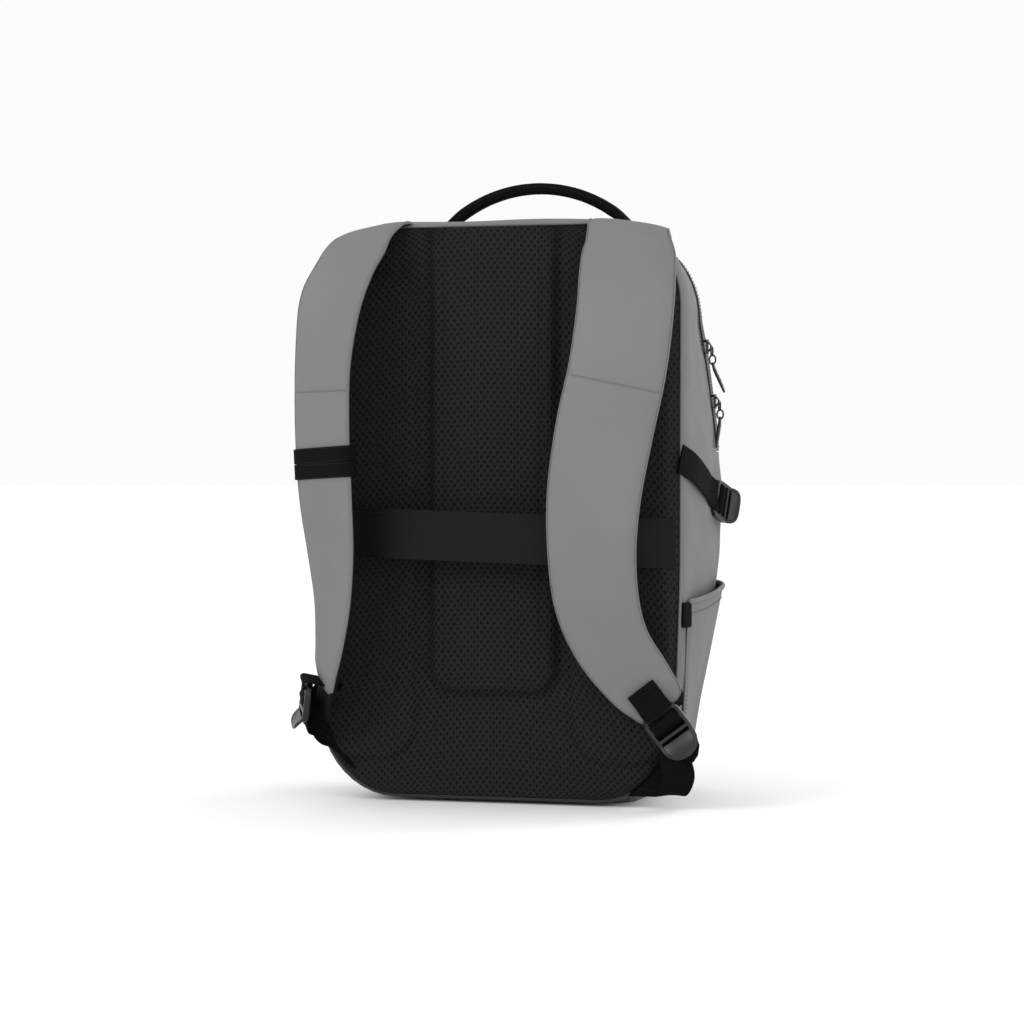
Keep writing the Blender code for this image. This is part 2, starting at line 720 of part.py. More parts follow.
def make_strap(side, control, strap_pivot, lock_pivot, lock_seat, loop_start, webbing_end, anchor_seat):
    """One shoulder strap with its ladder lock, the webbing below it, and its anchor on the bag.

    The loop runs down from the strap's end to the sewing bar. The webbing leaves the lock's back.
    """
    stations = strap_stations(control)
    layer(f"{side}_strap_lining", stations, LINING_INNER, LINING_OUTER, 0.0, AIR_MESH, strap_pivot)
    layer(f"{side}_strap_cover", stations, COVER_INNER, COVER_OUTER, 1.6, SHELL_FABRIC, strap_pivot)
    ladder_lock(f"{side}_ladder_lock", lock_seat, STRAP_WEBBING, lock_pivot)
    hint = lock_seat.to_3x3().col[1]
    bar = [lock_seat @ Vector((0.0, 0.0, high)) for high in (9.0, 4.6)]
    leaving = [lock_seat @ Vector((deep, 0.0, low)) for deep, low in ((-4.8, -14.0), (-7.4, -27.0))]
    ribbon(f"{side}_buckle_loop", [*loop_start, *bar], hint, strap_pivot)
    ribbon(f"{side}_webbing", [*leaving, *webbing_end], hint, strap_pivot)
    block(f"strap_anchor_{side}", (3.0, 30.0, 26.0), anchor_seat, WEBBING, bevel=0.6, segments=1)


def make_keeper_band(control, parent):
    """The webbing keeper sewn round the left strap."""
    stations = strap_stations(control)
    middle = min(stations, key=lambda station: abs(station[0].z - 276.0))
    centre, width, normal, half = middle
    along = normal.cross(width)
    seat = frame_of(centre, -along, width)
    made = block("left_keeper_band", (15.4, 2 * half + 4.6, 25.0), seat, WEBBING, parent, 1.0, 1)
    cut_box(made, (12.8, 2 * half + 1.6, 40.0), seat, parent=parent)


def make_handle():
    """The padded carry handle, a low arc over two sewn feet."""
    foot_x, rise = 80.0, 33.0
    radius = (foot_x**2 + rise**2) / (2 * rise)
    spread = math.asin(foot_x / radius)
    line = []
    for step in range(17):
        angle = spread * (1 - step / 8)
        line.append((radius * math.sin(angle), radius * math.cos(angle) - radius + rise))
    seat = place(HANDLE_X, HANDLE_Y, HANDLE_PIVOT_Z) @ turned(90, "X")
    grip = band("carry_handle", line, 12.0, 9.0, seat, WEBBING, HANDLE_PIVOT)
    add_bevel(grip, 2.4, 2)
    for side, name in ((1, "handle_anchor_right"), (-1, "handle_anchor_left")):
        spot = place(HANDLE_X + side * foot_x, HANDLE_Y, 461.0) @ turned(-TOP_SLOPE, "X")
        block(name, (22.0, 24.0, 1.2), spot, WEBBING, bevel=0.3, segments=1)


COMPRESSION_DROP = 20.0


def make_compression(side, name, buckle_pivot):
    """The webbing across the bag's side, with its buckle near the front."""
    depths = (-74.0, -50.0, -20.0, 2.0, 24.0, 36.0)
    line = [(side * (side_x(depth, 260.0) + 1.7), depth) for depth in depths]
    seat = place(z=COMPRESSION_Z) @ turned(-COMPRESSION_DROP, "X")
    band(f"compression_webbing_{name}", line, COMPRESSION_WEBBING, WEBBING_THICKNESS, seat, WEBBING)
    along = Vector((side * -math.sin(math.radians(BUCKLE_LEAN)), -math.cos(math.radians(BUCKLE_LEAN)), 0.34))
    buckle_seat = frame_of(BUCKLE_PLACES[name], along, (0.0, 0.0, side))
    ladder_lock(f"compression_buckle_{name}", buckle_seat, COMPRESSION_WEBBING, buckle_pivot)


SOCKET_SIDE = 1.0
COMPRESSION_Z = 248.0
BUCKLE_LEAN = 14.0
BUCKLE_PLACES = {"right": (164.3, 2.0, 247.0), "left": (-164.3, 2.0, 247.0)}
HANDLE_X, HANDLE_Y = 12.0, -4.0
HANDLE_PIVOT_Z = 468.0
TOP_SLOPE = 10.6
RIGHT_LOCK_PLACE = (149.0, -111.0, 76.5)
LEFT_LOCK_PLACE = (-144.0, -121.5, 94.0)

FLAP_PIVOT = pivot("flap_pivot", (0.0, FRONT_Y + 0.5, FOLD_Z))
BANK_PIVOT = pivot("power_bank_pivot", (60.0, -28.8, 209.0))
BUTTON_PIVOT = pivot("power_button_pivot", (74.0, -21.6, 250.0))
HANDLE_PIVOT = pivot("handle_pivot", (HANDLE_X, HANDLE_Y, HANDLE_PIVOT_Z))
RIGHT_STRAP_PIVOT = pivot("right_strap_pivot", (158.0, -89.0, 250.0))
LEFT_STRAP_PIVOT = pivot("left_strap_pivot", (-158.0, -89.0, 250.0))
RIGHT_LOCK_PIVOT = pivot("right_lock_pivot", RIGHT_LOCK_PLACE)
LEFT_LOCK_PIVOT = pivot("left_lock_pivot", LEFT_LOCK_PLACE)

make_body()
make_base()
make_back()
make_trolley_band()
make_side_pockets()
make_front_pocket()
make_interior()
make_solar_panel()
make_main_zip()

for level, slider_x, height, lean in (("upper", 145.3, 370.0, 8.7), ("lower", 151.8, 325.0, 7.3)):
    slider_seat = place(slider_x, ZIP_Y, height) @ turned(-lean, "Y")
    slider_pivot = pivot(f"main_{level}_slider_pivot", (slider_x, ZIP_Y, height))
    pull_pivot = pivot(f"main_{level}_pull_pivot", slider_seat @ Vector((LUG_OUT, 0.0, 0.0)))
    make_slider(
        f"main_slider_{level}",
        f"main_pull_{level}",
        slider_seat,
        slider_pivot,
        pull_pivot,
    )
make_strap(
    "right",
    RIGHT_STRAP,
    RIGHT_STRAP_PIVOT,
    RIGHT_LOCK_PIVOT,
    frame_of(RIGHT_LOCK_PLACE, (-0.56, -0.2, 0.80), (0.97, 0.24, 0.0)),
    ((122.5, -122.0, 108.0), (133.5, -117.5, 94.5)),
    ((161.5, -99.6, 46.0), (159.0, -97.6, 40.0)),
    frame_of((150.0, -89.9, 24.0), (0.42, 0.0, 0.9), (-0.9, 0.0, 0.42)),
)
make_strap(
    "left",
    LEFT_STRAP,
    LEFT_STRAP_PIVOT,
    LEFT_LOCK_PIVOT,
    frame_of(LEFT_LOCK_PLACE, (0.3, -0.15, 0.94), (0.5, -0.87, 0.0)),
    ((-134.5, -132.5, 134.0), (-139.4, -127.8, 113.0)),
    ((-147.0, -103.0, 46.0), (-141.0, -96.0, 38.0)),
    frame_of((-134.0, -89.9, 28.0), (-0.5, 0.0, 0.87), (-0.87, 0.0, -0.5)),
)
make_keeper_band(LEFT_STRAP, LEFT_STRAP_PIVOT)
make_handle()
for name, sign in (("right", 1), ("left", -1)):
    make_compression(sign, name, pivot(f"compression_buckle_{name}_pivot", BUCKLE_PLACES[name]))
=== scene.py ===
"""The looks of the solar backpack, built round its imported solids.

The wearer's side faces -Y, the solar flap faces +Y and +Z points up. Shapes are worked out in
millimetres and become metres where their mesh is made.
"""

import math

import bpy
import numpy as np
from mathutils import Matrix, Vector


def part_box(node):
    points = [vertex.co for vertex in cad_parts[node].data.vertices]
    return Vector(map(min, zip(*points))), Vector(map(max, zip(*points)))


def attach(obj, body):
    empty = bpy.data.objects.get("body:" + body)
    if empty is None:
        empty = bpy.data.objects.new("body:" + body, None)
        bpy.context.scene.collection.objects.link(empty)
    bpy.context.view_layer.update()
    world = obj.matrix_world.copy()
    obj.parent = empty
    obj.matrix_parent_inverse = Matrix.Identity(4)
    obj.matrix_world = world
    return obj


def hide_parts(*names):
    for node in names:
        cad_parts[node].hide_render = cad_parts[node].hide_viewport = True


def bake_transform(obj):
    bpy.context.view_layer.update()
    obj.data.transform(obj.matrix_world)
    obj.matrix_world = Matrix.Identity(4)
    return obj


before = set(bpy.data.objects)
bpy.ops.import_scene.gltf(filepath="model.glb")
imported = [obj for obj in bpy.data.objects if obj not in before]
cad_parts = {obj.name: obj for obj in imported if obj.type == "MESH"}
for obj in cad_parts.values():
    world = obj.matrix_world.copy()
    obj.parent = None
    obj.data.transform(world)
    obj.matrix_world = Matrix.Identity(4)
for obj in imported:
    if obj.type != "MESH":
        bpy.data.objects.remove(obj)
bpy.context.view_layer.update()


# The shell. Smooth woven polyester, lined with plain cloth, is sewn into one long gusset that runs
# from the back seam to the front panel. It hangs softly between its seams.
MM = 0.001
BACK_Y, ZIP_Y, FRONT_Y = -80.0, 22.0, 90.0
FOLD_Z, PARTING = 284.0, 0.4
TAPER, TAPER_START_Z = 0.06, 200.0
NARROWING, NARROWING_LOW_Z, NARROWING_HIGH_Z = 15.0, 280.0, 390.0
FOOT_NARROWING = 24.0
# Depth, half width, top, bottom, top corner radius, bottom corner radius.
BODY_RINGS = np.array(
    [
        (-80.0, 153.0, 466.0, 5.0, 64.0, 62.0),
        (-72.0, 155.5, 468.0, 5.0, 66.0, 62.0),
        (-20.0, 157.0, 463.0, 5.0, 70.0, 58.0),
        (12.0, 157.0, 457.0, 5.0, 68.0, 54.0),
        (32.0, 157.0, 457.0, 5.0, 68.0, 52.0),
        (50.0, 153.0, 430.0, 6.0, 58.0, 48.0),
        (70.0, 144.0, 361.0, 9.0, 43.0, 44.0),
        (82.0, 132.0, 319.6, 16.0, 27.0, 38.0),
        (90.0, 118.0, 292.0, 28.0, 13.0, 28.0),
    ]
)


class Signal:
    """A value inside a material. Arithmetic on it adds Math nodes."""

    def __init__(self, finish, socket):
        self.finish, self.socket = finish, socket

    def math(self, operation, *others):
        values = dict(enumerate((self, *others)))
        return self.finish.add("Math", {"operation": operation}, values)

    def __add__(self, other):
        return self.math("ADD", other)

    def __sub__(self, other):
        return self.math("SUBTRACT", other)

    def __mul__(self, other):
        return self.math("MULTIPLY", other)

    def __rsub__(self, other):
        return self.finish.add("Math", {"operation": "SUBTRACT"}, {0: other, 1: self})

    __radd__, __rmul__ = __add__, __mul__

    def sin(self):
        return self.math("SINE")

    def cos(self):
        return self.math("COSINE")

    def above(self, low, high):
        """0 below low, 1 above high, and a smooth step between them."""
        settings = {"interpolation_type": "SMOOTHSTEP"}
        return self.finish.add("MapRange", settings, {0: self, 1: low, 2: high})


class Finish:
    """A material: one Principled shader, and the nodes that vary its colour, roughness and relief."""

    def __init__(self, name, colour, roughness, **constants):
        self.material = bpy.data.materials.new(name)
        self.material.use_nodes = True
        self.tree = self.material.node_tree
        self.shader = self.tree.nodes["Principled BSDF"]
        self.colour = (*colour, 1.0)
        self.shader.inputs["Base Color"].default_value = self.colour
        self.shader.inputs["Roughness"].default_value = roughness
        for socket, value in constants.items():
            self.shader.inputs[socket.replace("_", " ")].default_value = value

    def add(self, kind, settings=(), inputs=(), output=0):
        """A node of a kind, with its settings, then the values or links of its sockets."""
        node = self.tree.nodes.new("ShaderNode" + kind)
        for key, value in dict(settings).items():
            if key == "stops":
                for stop, (spot, shade) in zip(node.color_ramp.elements, value):
                    stop.position, stop.color = spot, (*shade, 1.0)
            else:
                setattr(node, key, value)
        for key, value in dict(inputs).items():
            if isinstance(value, Signal):
                self.tree.links.new(value.socket, node.inputs[key])
            else:
                node.inputs[key].default_value = value
        return Signal(self, node.outputs[output])

    def axes(self, place):
        """The three numbers of a place or a pattern space."""
        split = self.add("SeparateXYZ", (), {0: place})
        return tuple(Signal(self, out) for out in split.socket.node.outputs)

    def uv(self):
        """Distance across and along the cloth, in millimetres."""
        return self.axes(self.add("TexCoord", output="UV"))[:2]

    def place(self):
        """Where a point is on the bag, in metres."""
        return self.add("TexCoord", output="Object")

    def noise(self, scale, detail=2.0, where=None):
        inputs = {"Vector": where or self.place(), "Scale": scale, "Detail": detail}
        return self.add("TexNoise", (), inputs, "Fac")

    def paint(self, share, other):
        """Mixes the base colour towards another by a share."""
        colours = {0: share, 6: self.colour, 7: (*other, 1.0)}
        mixed = self.add("Mix", {"data_type": "RGBA"}, colours, 2)
        self.tree.links.new(mixed.socket, self.shader.inputs["Base Color"])
        return self

    def vary_roughness(self, value):
        self.tree.links.new(value.socket, self.shader.inputs["Roughness"])
        return self

    def relief(self, height, depth_mm, strength=1.0):
        """Raises the surface by a height from 0 to 1, times a depth."""
        inputs = {"Strength": strength, "Distance": depth_mm * MM, "Height": height}
        bump = self.add("Bump", (), inputs)
        self.tree.links.new(bump.socket, self.shader.inputs["Normal"])
        return self


class Shape:
    """Grids of points, in millimetres, gathered into the mesh of one piece."""

    def __init__(self):
        self.points, self.faces, self.across, self.slots, self.count = [], [], [], [], 0

    def grid(self, points, wrap=False, caps=False, about=None, keep=None, slot=0):
        """Quads over an array of rows and columns of points.

        A quad joins each point to the next in its row and its column. The pattern space is the
        distance run along the row and along the column. Faces point away from about.
        """
        rows, columns = points.shape[:2]
        index = np.arange(rows * columns).reshape(rows, columns)
        ring = np.concatenate([points, points[:, :1]], 1) if wrap else points
        index = np.concatenate([index, index[:, :1]], 1) if wrap else index
        step_u = np.linalg.norm(np.diff(ring, axis=1), axis=2)
        step_v = np.linalg.norm(np.diff(ring, axis=0), axis=2)
        u = np.pad(np.cumsum(step_u, 1), ((0, 0), (1, 0)))
        v = np.pad(np.cumsum(step_v, 0), ((1, 0), (0, 0)))
        uv = np.stack([u - u[:, -1:] / 2, v], -1)

        def corners(values):
            return np.stack([values[:-1, :-1], values[:-1, 1:], values[1:, 1:], values[1:, :-1]], 2)

        quads = corners(index[..., None]).reshape(-1, 4)
        maps = corners(uv).reshape(-1, 4, 2)
        if keep is not None:
            quads, maps = quads[keep.ravel()], maps[keep.ravel()]
        flat = points.reshape(-1, 3)
        centre = flat.mean(0) if about is None else np.array(about)
        a, b, c, d = (flat[quads[:, i]] for i in range(4))
        flux = np.einsum("ij,ij->", (a + c) / 2 - centre, np.cross(c - a, d - b))
        order = slice(None) if flux >= 0 else slice(None, None, -1)
        faces, flat_maps = quads[:, order].tolist(), maps[:, order].reshape(-1, 2)
        if caps:
            first, last = index[0, :columns].tolist(), index[-1, :columns].tolist()
            faces += [first[::-1], last] if flux >= 0 else [first, last[::-1]]
            flat_maps = np.concatenate([flat_maps, uv[0, :columns], uv[-1, :columns]])
        self.faces += [[i + self.count for i in face] for face in faces]
        self.slots += [slot] * len(faces)
        self.points.append(flat)
        self.across.append(flat_maps)
        self.count += len(flat)
        return self

    def piece(self, name, finish, body, slot, replaces=(), sharp=40.0):
        """One object of this shape, which rides on a body and takes the given finish; its slot is not used.
        """
        mesh = bpy.data.meshes.new(name)
        mesh.from_pydata(np.concatenate(self.points) * MM, [], self.faces)
        layer = mesh.uv_layers.new(name="cloth")
        layer.data.foreach_set("uv", np.concatenate(self.across).astype(np.float32).ravel())
        for coat in finish if isinstance(finish, tuple) else (finish,):
            mesh.materials.append(coat.material)
        mesh.polygons.foreach_set("material_index", np.array(self.slots, np.int32))
        mesh.shade_smooth()
        mesh.set_sharp_from_angle(angle=math.radians(sharp))
        made = bpy.data.objects.new(name, mesh)
        bpy.context.scene.collection.objects.link(made)
        if body:
            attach(made, body)
        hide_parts(*replaces)
        return made


def add_wall(piece, thickness, inner_coat=0):
    """Gives an open sheet its thickness, inwards from the face that shows."""
    wall = piece.modifiers.new("wall", "SOLIDIFY")
    wall.thickness, wall.offset, wall.use_even_offset = thickness * MM, -1.0, False
    wall.material_offset, wall.material_offset_rim = inner_coat, 0


def unit(vectors):
    return vectors / np.maximum(np.linalg.norm(vectors, axis=-1, keepdims=True), 1e-9)


def ring_at(depth):
    """The form's sizes at each depth: straight runs between the rings, averaged over 5 mm each way."""
    spread = np.array([-5.0, -2.5, 0.0, 2.5, 5.0])
    reach = np.minimum(5.0, np.minimum(depth - BACK_Y, FRONT_Y - depth))
    near = depth[:, None] + spread * (reach / 5.0)[:, None]
    return [np.interp(near, BODY_RINGS[:, 0], BODY_RINGS[:, i]).mean(1)[:, None] for i in range(1, 6)]


def tapered(x, z, depth=BACK_Y):
    """The bag draws in towards its base: x times 1 - 0.06 (1 - z / 200) ** 1.5.

    In front of its back it draws in by up to 15 mm more at the top and 24 mm at the foot.
    """
    foot = np.clip(1 - z / TAPER_START_Z, 0, None)
    forward = np.clip((depth + 70) / 80, 0, 1)
    head = np.clip((z - NARROWING_LOW_Z) / (NARROWING_HIGH_Z - NARROWING_LOW_Z), 0, 1) ** 1.2
    drawn_in = (NARROWING * head + FOOT_NARROWING * foot) * forward
    return x * (1 - TAPER * foot**1.5) - drawn_in * (x / 157.0) ** 3


def soft_folds(points, reach):
    """Shallow folds in the cloth: a few crossed sine waves whose lengths are 40 to 130 mm."""
    x, y, z = points[..., 0], points[..., 1], points[..., 2]
    wave = np.sin(x / 21 + z / 33 + 1.3) * np.sin(y / 17 - z / 41 + 0.4)
    wave += 0.7 * np.sin(z / 14 + x / 37 + 2.1) * np.sin(y / 26 + x / 45)
    wave += 0.5 * np.sin((z + 0.6 * y) / 9.5 + 0.7) * np.sin(x / 30 + y / 11 + 1.9)
    return wave * reach


CORNER, SIDE_LOW, SIDE_HIGH, FLAT = 10, 26, 18, 16


def outline(depth, fold):
    """Rounded upright rectangles, one row per depth, from the middle of the base all the way round.

    Half of it is a straight, a quarter circle, the side up to the fold, the side above it, a quarter
    circle and a straight. The other half is its mirror image.
    """
    half, top, bottom, high, low = ring_at(depth)
    fold = np.minimum(fold, top - high - 0.5)
    turn = np.linspace(0, np.pi / 2, CORNER + 1)[None, 1:]
    run = np.linspace(0, 1, FLAT + 1)[None, :]
    rise_low = np.linspace(0, 1, SIDE_LOW + 1)[None, 1:]
    rise_high = np.linspace(0, 1, SIDE_HIGH + 1)[None, 1:]
    xs = [run * (half - low), half - low + low * np.sin(turn)]
    zs = [bottom + 0 * run, bottom + low - low * np.cos(turn)]
    zs += [bottom + low + rise_low * (fold - bottom - low), fold + rise_high * (top - high - fold)]
    xs += [half + 0 * rise_low, half + 0 * rise_high]
    xs += [half - high + high * np.cos(turn), (half - high) * (1 - run[:, 1:])]
    zs += [top - high + high * np.sin(turn), top + 0 * run[:, 1:]]
    x, z = np.concatenate(xs, 1), np.concatenate(zs, 1)
    x = np.concatenate([x, -x[:, -2:0:-1]], 1)
    z = np.concatenate([z, z[:, -2:0:-1]], 1)
    return np.stack([tapered(x, z, depth[:, None]), depth[:, None] + 0 * x, z], -1)


FOLD_COLUMN = FLAT + CORNER + SIDE_LOW
TOP_COLUMN = FOLD_COLUMN + SIDE_HIGH + CORNER + FLAT


def filled_out(points, push=2.4, folds=1.25):
    """Swells the cloth between its seams and lays soft folds in it, along its own normals."""
    along = unit(np.gradient(points, axis=0))
    around = unit(np.roll(points, -1, 1) - np.roll(points, 1, 1))
    normal = unit(np.cross(around, along))
    middle = points.mean((0, 1))
    if np.einsum("ijk,ijk->", normal, points - middle) < 0:
        normal = -normal
    depth = points[..., 1]
    seam = np.sin(np.pi * np.clip((depth - BACK_Y) / (FRONT_Y - BACK_Y), 0, 1)) ** 0.5
    zip_line = np.clip(np.abs(depth - ZIP_Y) / 16, 0, 1)
    upright = np.clip(points[..., 2] / 70, 0.12, 1)
    swell = push * seam * np.abs(normal[..., 0]) ** 1.5 * (0.4 + 0.6 * zip_line)
    over_back = 4.0 * np.exp(-(((depth + 58) / 20) ** 2)) * np.clip(normal[..., 2], 0, 1) ** 2
    moved = upright * (swell + soft_folds(points, folds) * seam * zip_line) + over_back
    return points + normal * moved[..., None]


shell_cloth = Finish("shell_cloth", (0.15, 0.15, 0.145), 0.8, Specular_IOR_Level=0.25)
u, v = shell_cloth.uv()
threads = (u * 5.2).sin() * (v * 5.2).sin()
clouds = shell_cloth.noise(9.0, 3.0)
shell_cloth.paint(clouds.above(0.3, 0.75) * 0.35 + shell_cloth.noise(900.0, 1.0) * 0.25, (0.19, 0.19, 0.184))
shell_cloth.relief(threads * 0.5 + shell_cloth.noise(260.0, 2.0) * 1.2, 0.16)
shell_cloth.vary_roughness(clouds * 0.12 + 0.7)

lining_cloth = Finish("lining_cloth", (0.045, 0.045, 0.046), 0.82)
u, v = lining_cloth.uv()
lining_cloth.relief((u * 3.6).sin() * (v * 3.6).sin() * 0.5 + 0.5, 0.12)
lining_cloth.paint(lining_cloth.noise(30.0, 3.0) * 0.5, (0.07, 0.07, 0.072))

depths = np.concatenate([np.linspace(BACK_Y, ZIP_Y - PARTING, 30), np.linspace(ZIP_Y + PARTING, FRONT_Y, 22)])
gusset = filled_out(outline(depths, FOLD_Z - PARTING))
columns = np.arange(gusset.shape[1])
above_fold = (columns >= FOLD_COLUMN) & (columns < gusset.shape[1] - FOLD_COLUMN)
behind_zip = np.arange(len(depths) - 1)[:, None] < 29
bag_shell = Shape().grid(gusset, wrap=True, keep=behind_zip | ~above_fold)


def front_half_width(height):
    """Half the front face's width at a height, from its lower corner circle."""
    _, half, top, bottom, high, low = BODY_RINGS[-1]
    below = np.clip(bottom + low - height, 0, low)
    return tapered(half - low + np.sqrt(low**2 - below**2), height, FRONT_Y)


heights = np.linspace(BODY_RINGS[-1, 3], FOLD_Z - PARTING, 60)[:, None]
spread = np.linspace(-1, 1, 60)[None, :]
crown = 2.6 * (1 - spread**2) ** 0.7 * np.sin(np.pi * np.linspace(0, 1, 60)[:, None]) ** 0.5
front_face = np.stack(np.broadcast_arrays(front_half_width(heights) * spread, FRONT_Y + crown, heights), -1)
bag_shell.grid(front_face, about=(0, 0, 150))
bag_shell = bag_shell.piece("bag_shell", (shell_cloth, lining_cloth), "bag", "shell_fabric", ["main_shell"])
add_wall(bag_shell, 2.4, 1)


# The flap. The same cloth and lining, cut away from the gusset along the zip and folded at the front.
flap_depths = np.linspace(ZIP_Y + PARTING, FRONT_Y, 34)
flap_form = filled_out(outline(flap_depths, FOLD_Z + PARTING), push=1.6, folds=0.5)
flap_cloth = flap_form[:, FOLD_COLUMN : flap_form.shape[1] - FOLD_COLUMN + 1]
flap_shell = Shape().grid(flap_cloth, about=(0, 0, 340))
lip = flap_cloth[-1]
lip_low = np.stack([lip[:, 0], lip[:, 1], np.full(len(lip), FOLD_Z + PARTING)], -1)
flap_shell.grid(np.stack([lip, lip_low]), about=(0, 0, 288))
flap_cloths = (shell_cloth, lining_cloth)
flap_shell = flap_shell.piece("flap_shell_cloth", flap_cloths, "flap", "shell_fabric", ["flap_shell"])
add_wall(flap_shell, 2.4, 1)


# The seams. Each panel edge is rolled round a thin cord: grey cloth at the sides and top of the back,
# and glossy black piping where the base wears.
def smooth_path(control, steps):
    """Catmull-Rom points through a few given rows of numbers, steps to each span."""
    control = np.asarray(control, float)
    ends = np.vstack([2 * control[0] - control[1], control, 2 * control[-1] - control[-2]])
    t = np.linspace(0, 1, steps, endpoint=False)[None, :, None]
    p, q, r, s = (ends[i : i + len(control) - 1, None] for i in range(4))
    line = 0.5 * (2 * q + (r - p) * t + (2 * p - 5 * q + 4 * r - s) * t**2 + (3 * q - p - 3 * r + s) * t**3)
    return np.vstack([line.reshape(-1, control.shape[1]), control[-1:]])


def sides_of(path, hint, closed=False):
    """Two unit vectors square to a path: one as near as can be to the hint, one square to both."""
    if closed:
        along = unit(np.roll(path, -1, 0) - np.roll(path, 1, 0))
    else:
        along = unit(np.gradient(path, axis=0))
    hint = np.broadcast_to(np.asarray(hint, float), path.shape)
    width = unit(hint - along * np.einsum("ij,ij->i", hint, along)[:, None])
    return width, np.cross(along, width)


def carried(path, hint, profile, closed=False, scale=1.0):
    """A profile of (across, out) pairs carried along a path, as rows of points."""
    width, out = sides_of(path, hint, closed)
    scale = np.broadcast_to(scale, len(path))[:, None, None]
    profile = np.asarray(profile, float)
    return path[:, None] + scale * (width[:, None] * profile[:, :1] + out[:, None] * profile[:, 1:])


def rounded(across, out, power=2.0, sides=12):
    """A closed oval profile: cos and sin of the turn, each to the power 2 / power."""
    turn = np.linspace(0, 2 * np.pi, sides, endpoint=False)
    c, s = np.cos(turn), np.sin(turn)
    x = across * np.sign(c) * np.abs(c) ** (2 / power)
    y = out * np.sign(s) * np.abs(s) ** (2 / power)
    return np.stack([x, y], 1)


def add_loop(shape, path, hint, profile):
    """A closed ring of a carried profile."""
    rows = carried(path, hint, profile, closed=True)
    rows = np.concatenate([rows, rows[:1]])
    width, out = sides_of(path, hint, closed=True)
    shape.grid(rows, wrap=True, about=path.mean(0))
    return shape


def add_rod(shape, path, hint, profile, scale=1.0):
    """A carried profile with a flat cap on each end."""
    return shape.grid(carried(path, hint, profile, scale=scale), wrap=True, caps=True)


piping_black = Finish("glossy_piping", (0.007, 0.007, 0.007), 0.3, Coat_Weight=0.2)
piping_black.relief(piping_black.noise(420.0, 2.0), 0.08)

back_edge = outline(np.array([BACK_Y]), FOLD_Z)[0] + np.array([0, -1.6, 0])
low_end = FLAT + CORNER + 2
seam_roll = Shape()
add_rod(seam_roll, back_edge[low_end : len(back_edge) - low_end], (0, 1, 0), rounded(1.5, 1.3))
seam_roll = seam_roll.piece("back_seam_roll", shell_cloth, "bag", "shell_fabric")
low_piping = Shape()
base_line = np.concatenate([back_edge[-low_end - 1 :], back_edge[: low_end + 2]])
add_rod(low_piping, base_line + np.array([0, -1.4, 0]), (0, 1, 0), rounded(2.4, 2.2))
low_piping = low_piping.piece("base_piping", piping_black, "bag", "webbing", ["back_piping"])

front_ring = outline(np.array([FRONT_Y - 3.0]), FOLD_Z - PARTING)[0]
front_line = np.concatenate([front_ring[-FOLD_COLUMN:], front_ring[: FOLD_COLUMN + 1]])
front_seam = add_rod(Shape(), front_line + np.array([0, 0.6, 0]), (0, 1, 0), rounded(1.5, 1.5, sides=8))
front_seam.piece("front_seam_roll", shell_cloth, "bag", "shell_fabric")

flap_columns = flap_cloth.shape[1]
slope_edge = SIDE_HIGH + CORNER // 2
flap_line = np.concatenate(
    [
        flap_cloth[:6:-1, slope_edge],
        flap_cloth[6, slope_edge : flap_columns - slope_edge],
        flap_cloth[7:, flap_columns - 1 - slope_edge],
    ]
)
flap_seam = add_rod(Shape(), flap_line, (0, 0, 1), rounded(1.4, 1.4, sides=8))
flap_seam.piece("flap_seam_roll", shell_cloth, "flap", "shell_fabric")


# The base. A coated panel is sewn under the bag, with a stitched lip and a fine pebbled face.
base_coat = Finish("base_coat", (0.016, 0.016, 0.016), 0.55)
pebbles = base_coat.add("TexVoronoi", {}, {"Vector": base_coat.place(), "Scale": 620.0}, "Distance")
base_coat.relief(pebbles, 0.22)


def coat(node, finish):
    """Gives a solid that keeps its own shape the finish of the real piece."""
    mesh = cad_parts[node].data
    mesh.materials.clear()
    mesh.materials.append(finish.material)


coat("base_panel", base_coat)


# The back. Spacer mesh over foam is moulded into a raised middle pad and two side columns, with
# pressed grooves between them, and a plastic sheet stiffens it from inside.
air_mesh = Finish("air_mesh", (0.0128, 0.0128, 0.0115), 0.72, Specular_IOR_Level=0.16)
HOLE_ACROSS, HOLE_ALONG = 2 * math.pi / 5.6, 2 * math.pi / 7.4


def perforate(finish):
    """Staggered holes, painted dark as shade inside them: high where the product of two cosines, one each
    way, is near 1.
    """
    u, v = finish.uv()
    cells = (u * HOLE_ACROSS).cos() * (v * HOLE_ALONG).cos()
    holes = cells.above(0.08, 0.6)
    # Painted shade: the holes are painted near black, as the shade inside them.
    finish.paint(holes, (0.0015, 0.0015, 0.0015))
    knit = (u * 7.0).sin() * (v * 7.0).sin() * 0.12
    finish.relief(knit - holes, 1.3)


perforate(air_mesh)
MESH_TOP_Y = -87.4
half, top, bottom, high, low = (float(row[0, 0]) for row in ring_at(np.array([BACK_Y])))
INSET = 1.4


def back_half_width(height):
    """Half the back's width inside its seam: the two corner circles, then the taper."""
    below = np.clip(bottom + low - height, 0, low)
    over = np.clip(height - (top - high), 0, high)
    straight = half - low + np.sqrt(low**2 - below**2) + (np.sqrt(high**2 - over**2) - high)
    return tapered(straight, height) - INSET


def to_edge(x, z, half_x, z_low, z_high, radius):
    """Distance from a rounded rectangle's edge, positive inside it."""
    dx = np.abs(x) - (half_x - radius)
    dz = np.abs(z - (z_low + z_high) / 2) - ((z_high - z_low) / 2 - radius)
    outside = np.hypot(np.clip(dx, 0, None), np.clip(dz, 0, None))
    return radius - outside - np.minimum(np.maximum(dx, dz), 0)


def pillow(distance, rise, shoulder):
    """A padded height: a quarter circle over the shoulder's width, then level."""
    inward = np.clip(distance / shoulder, 0, 1)
    return rise * np.sqrt(1 - (1 - inward) ** 2)


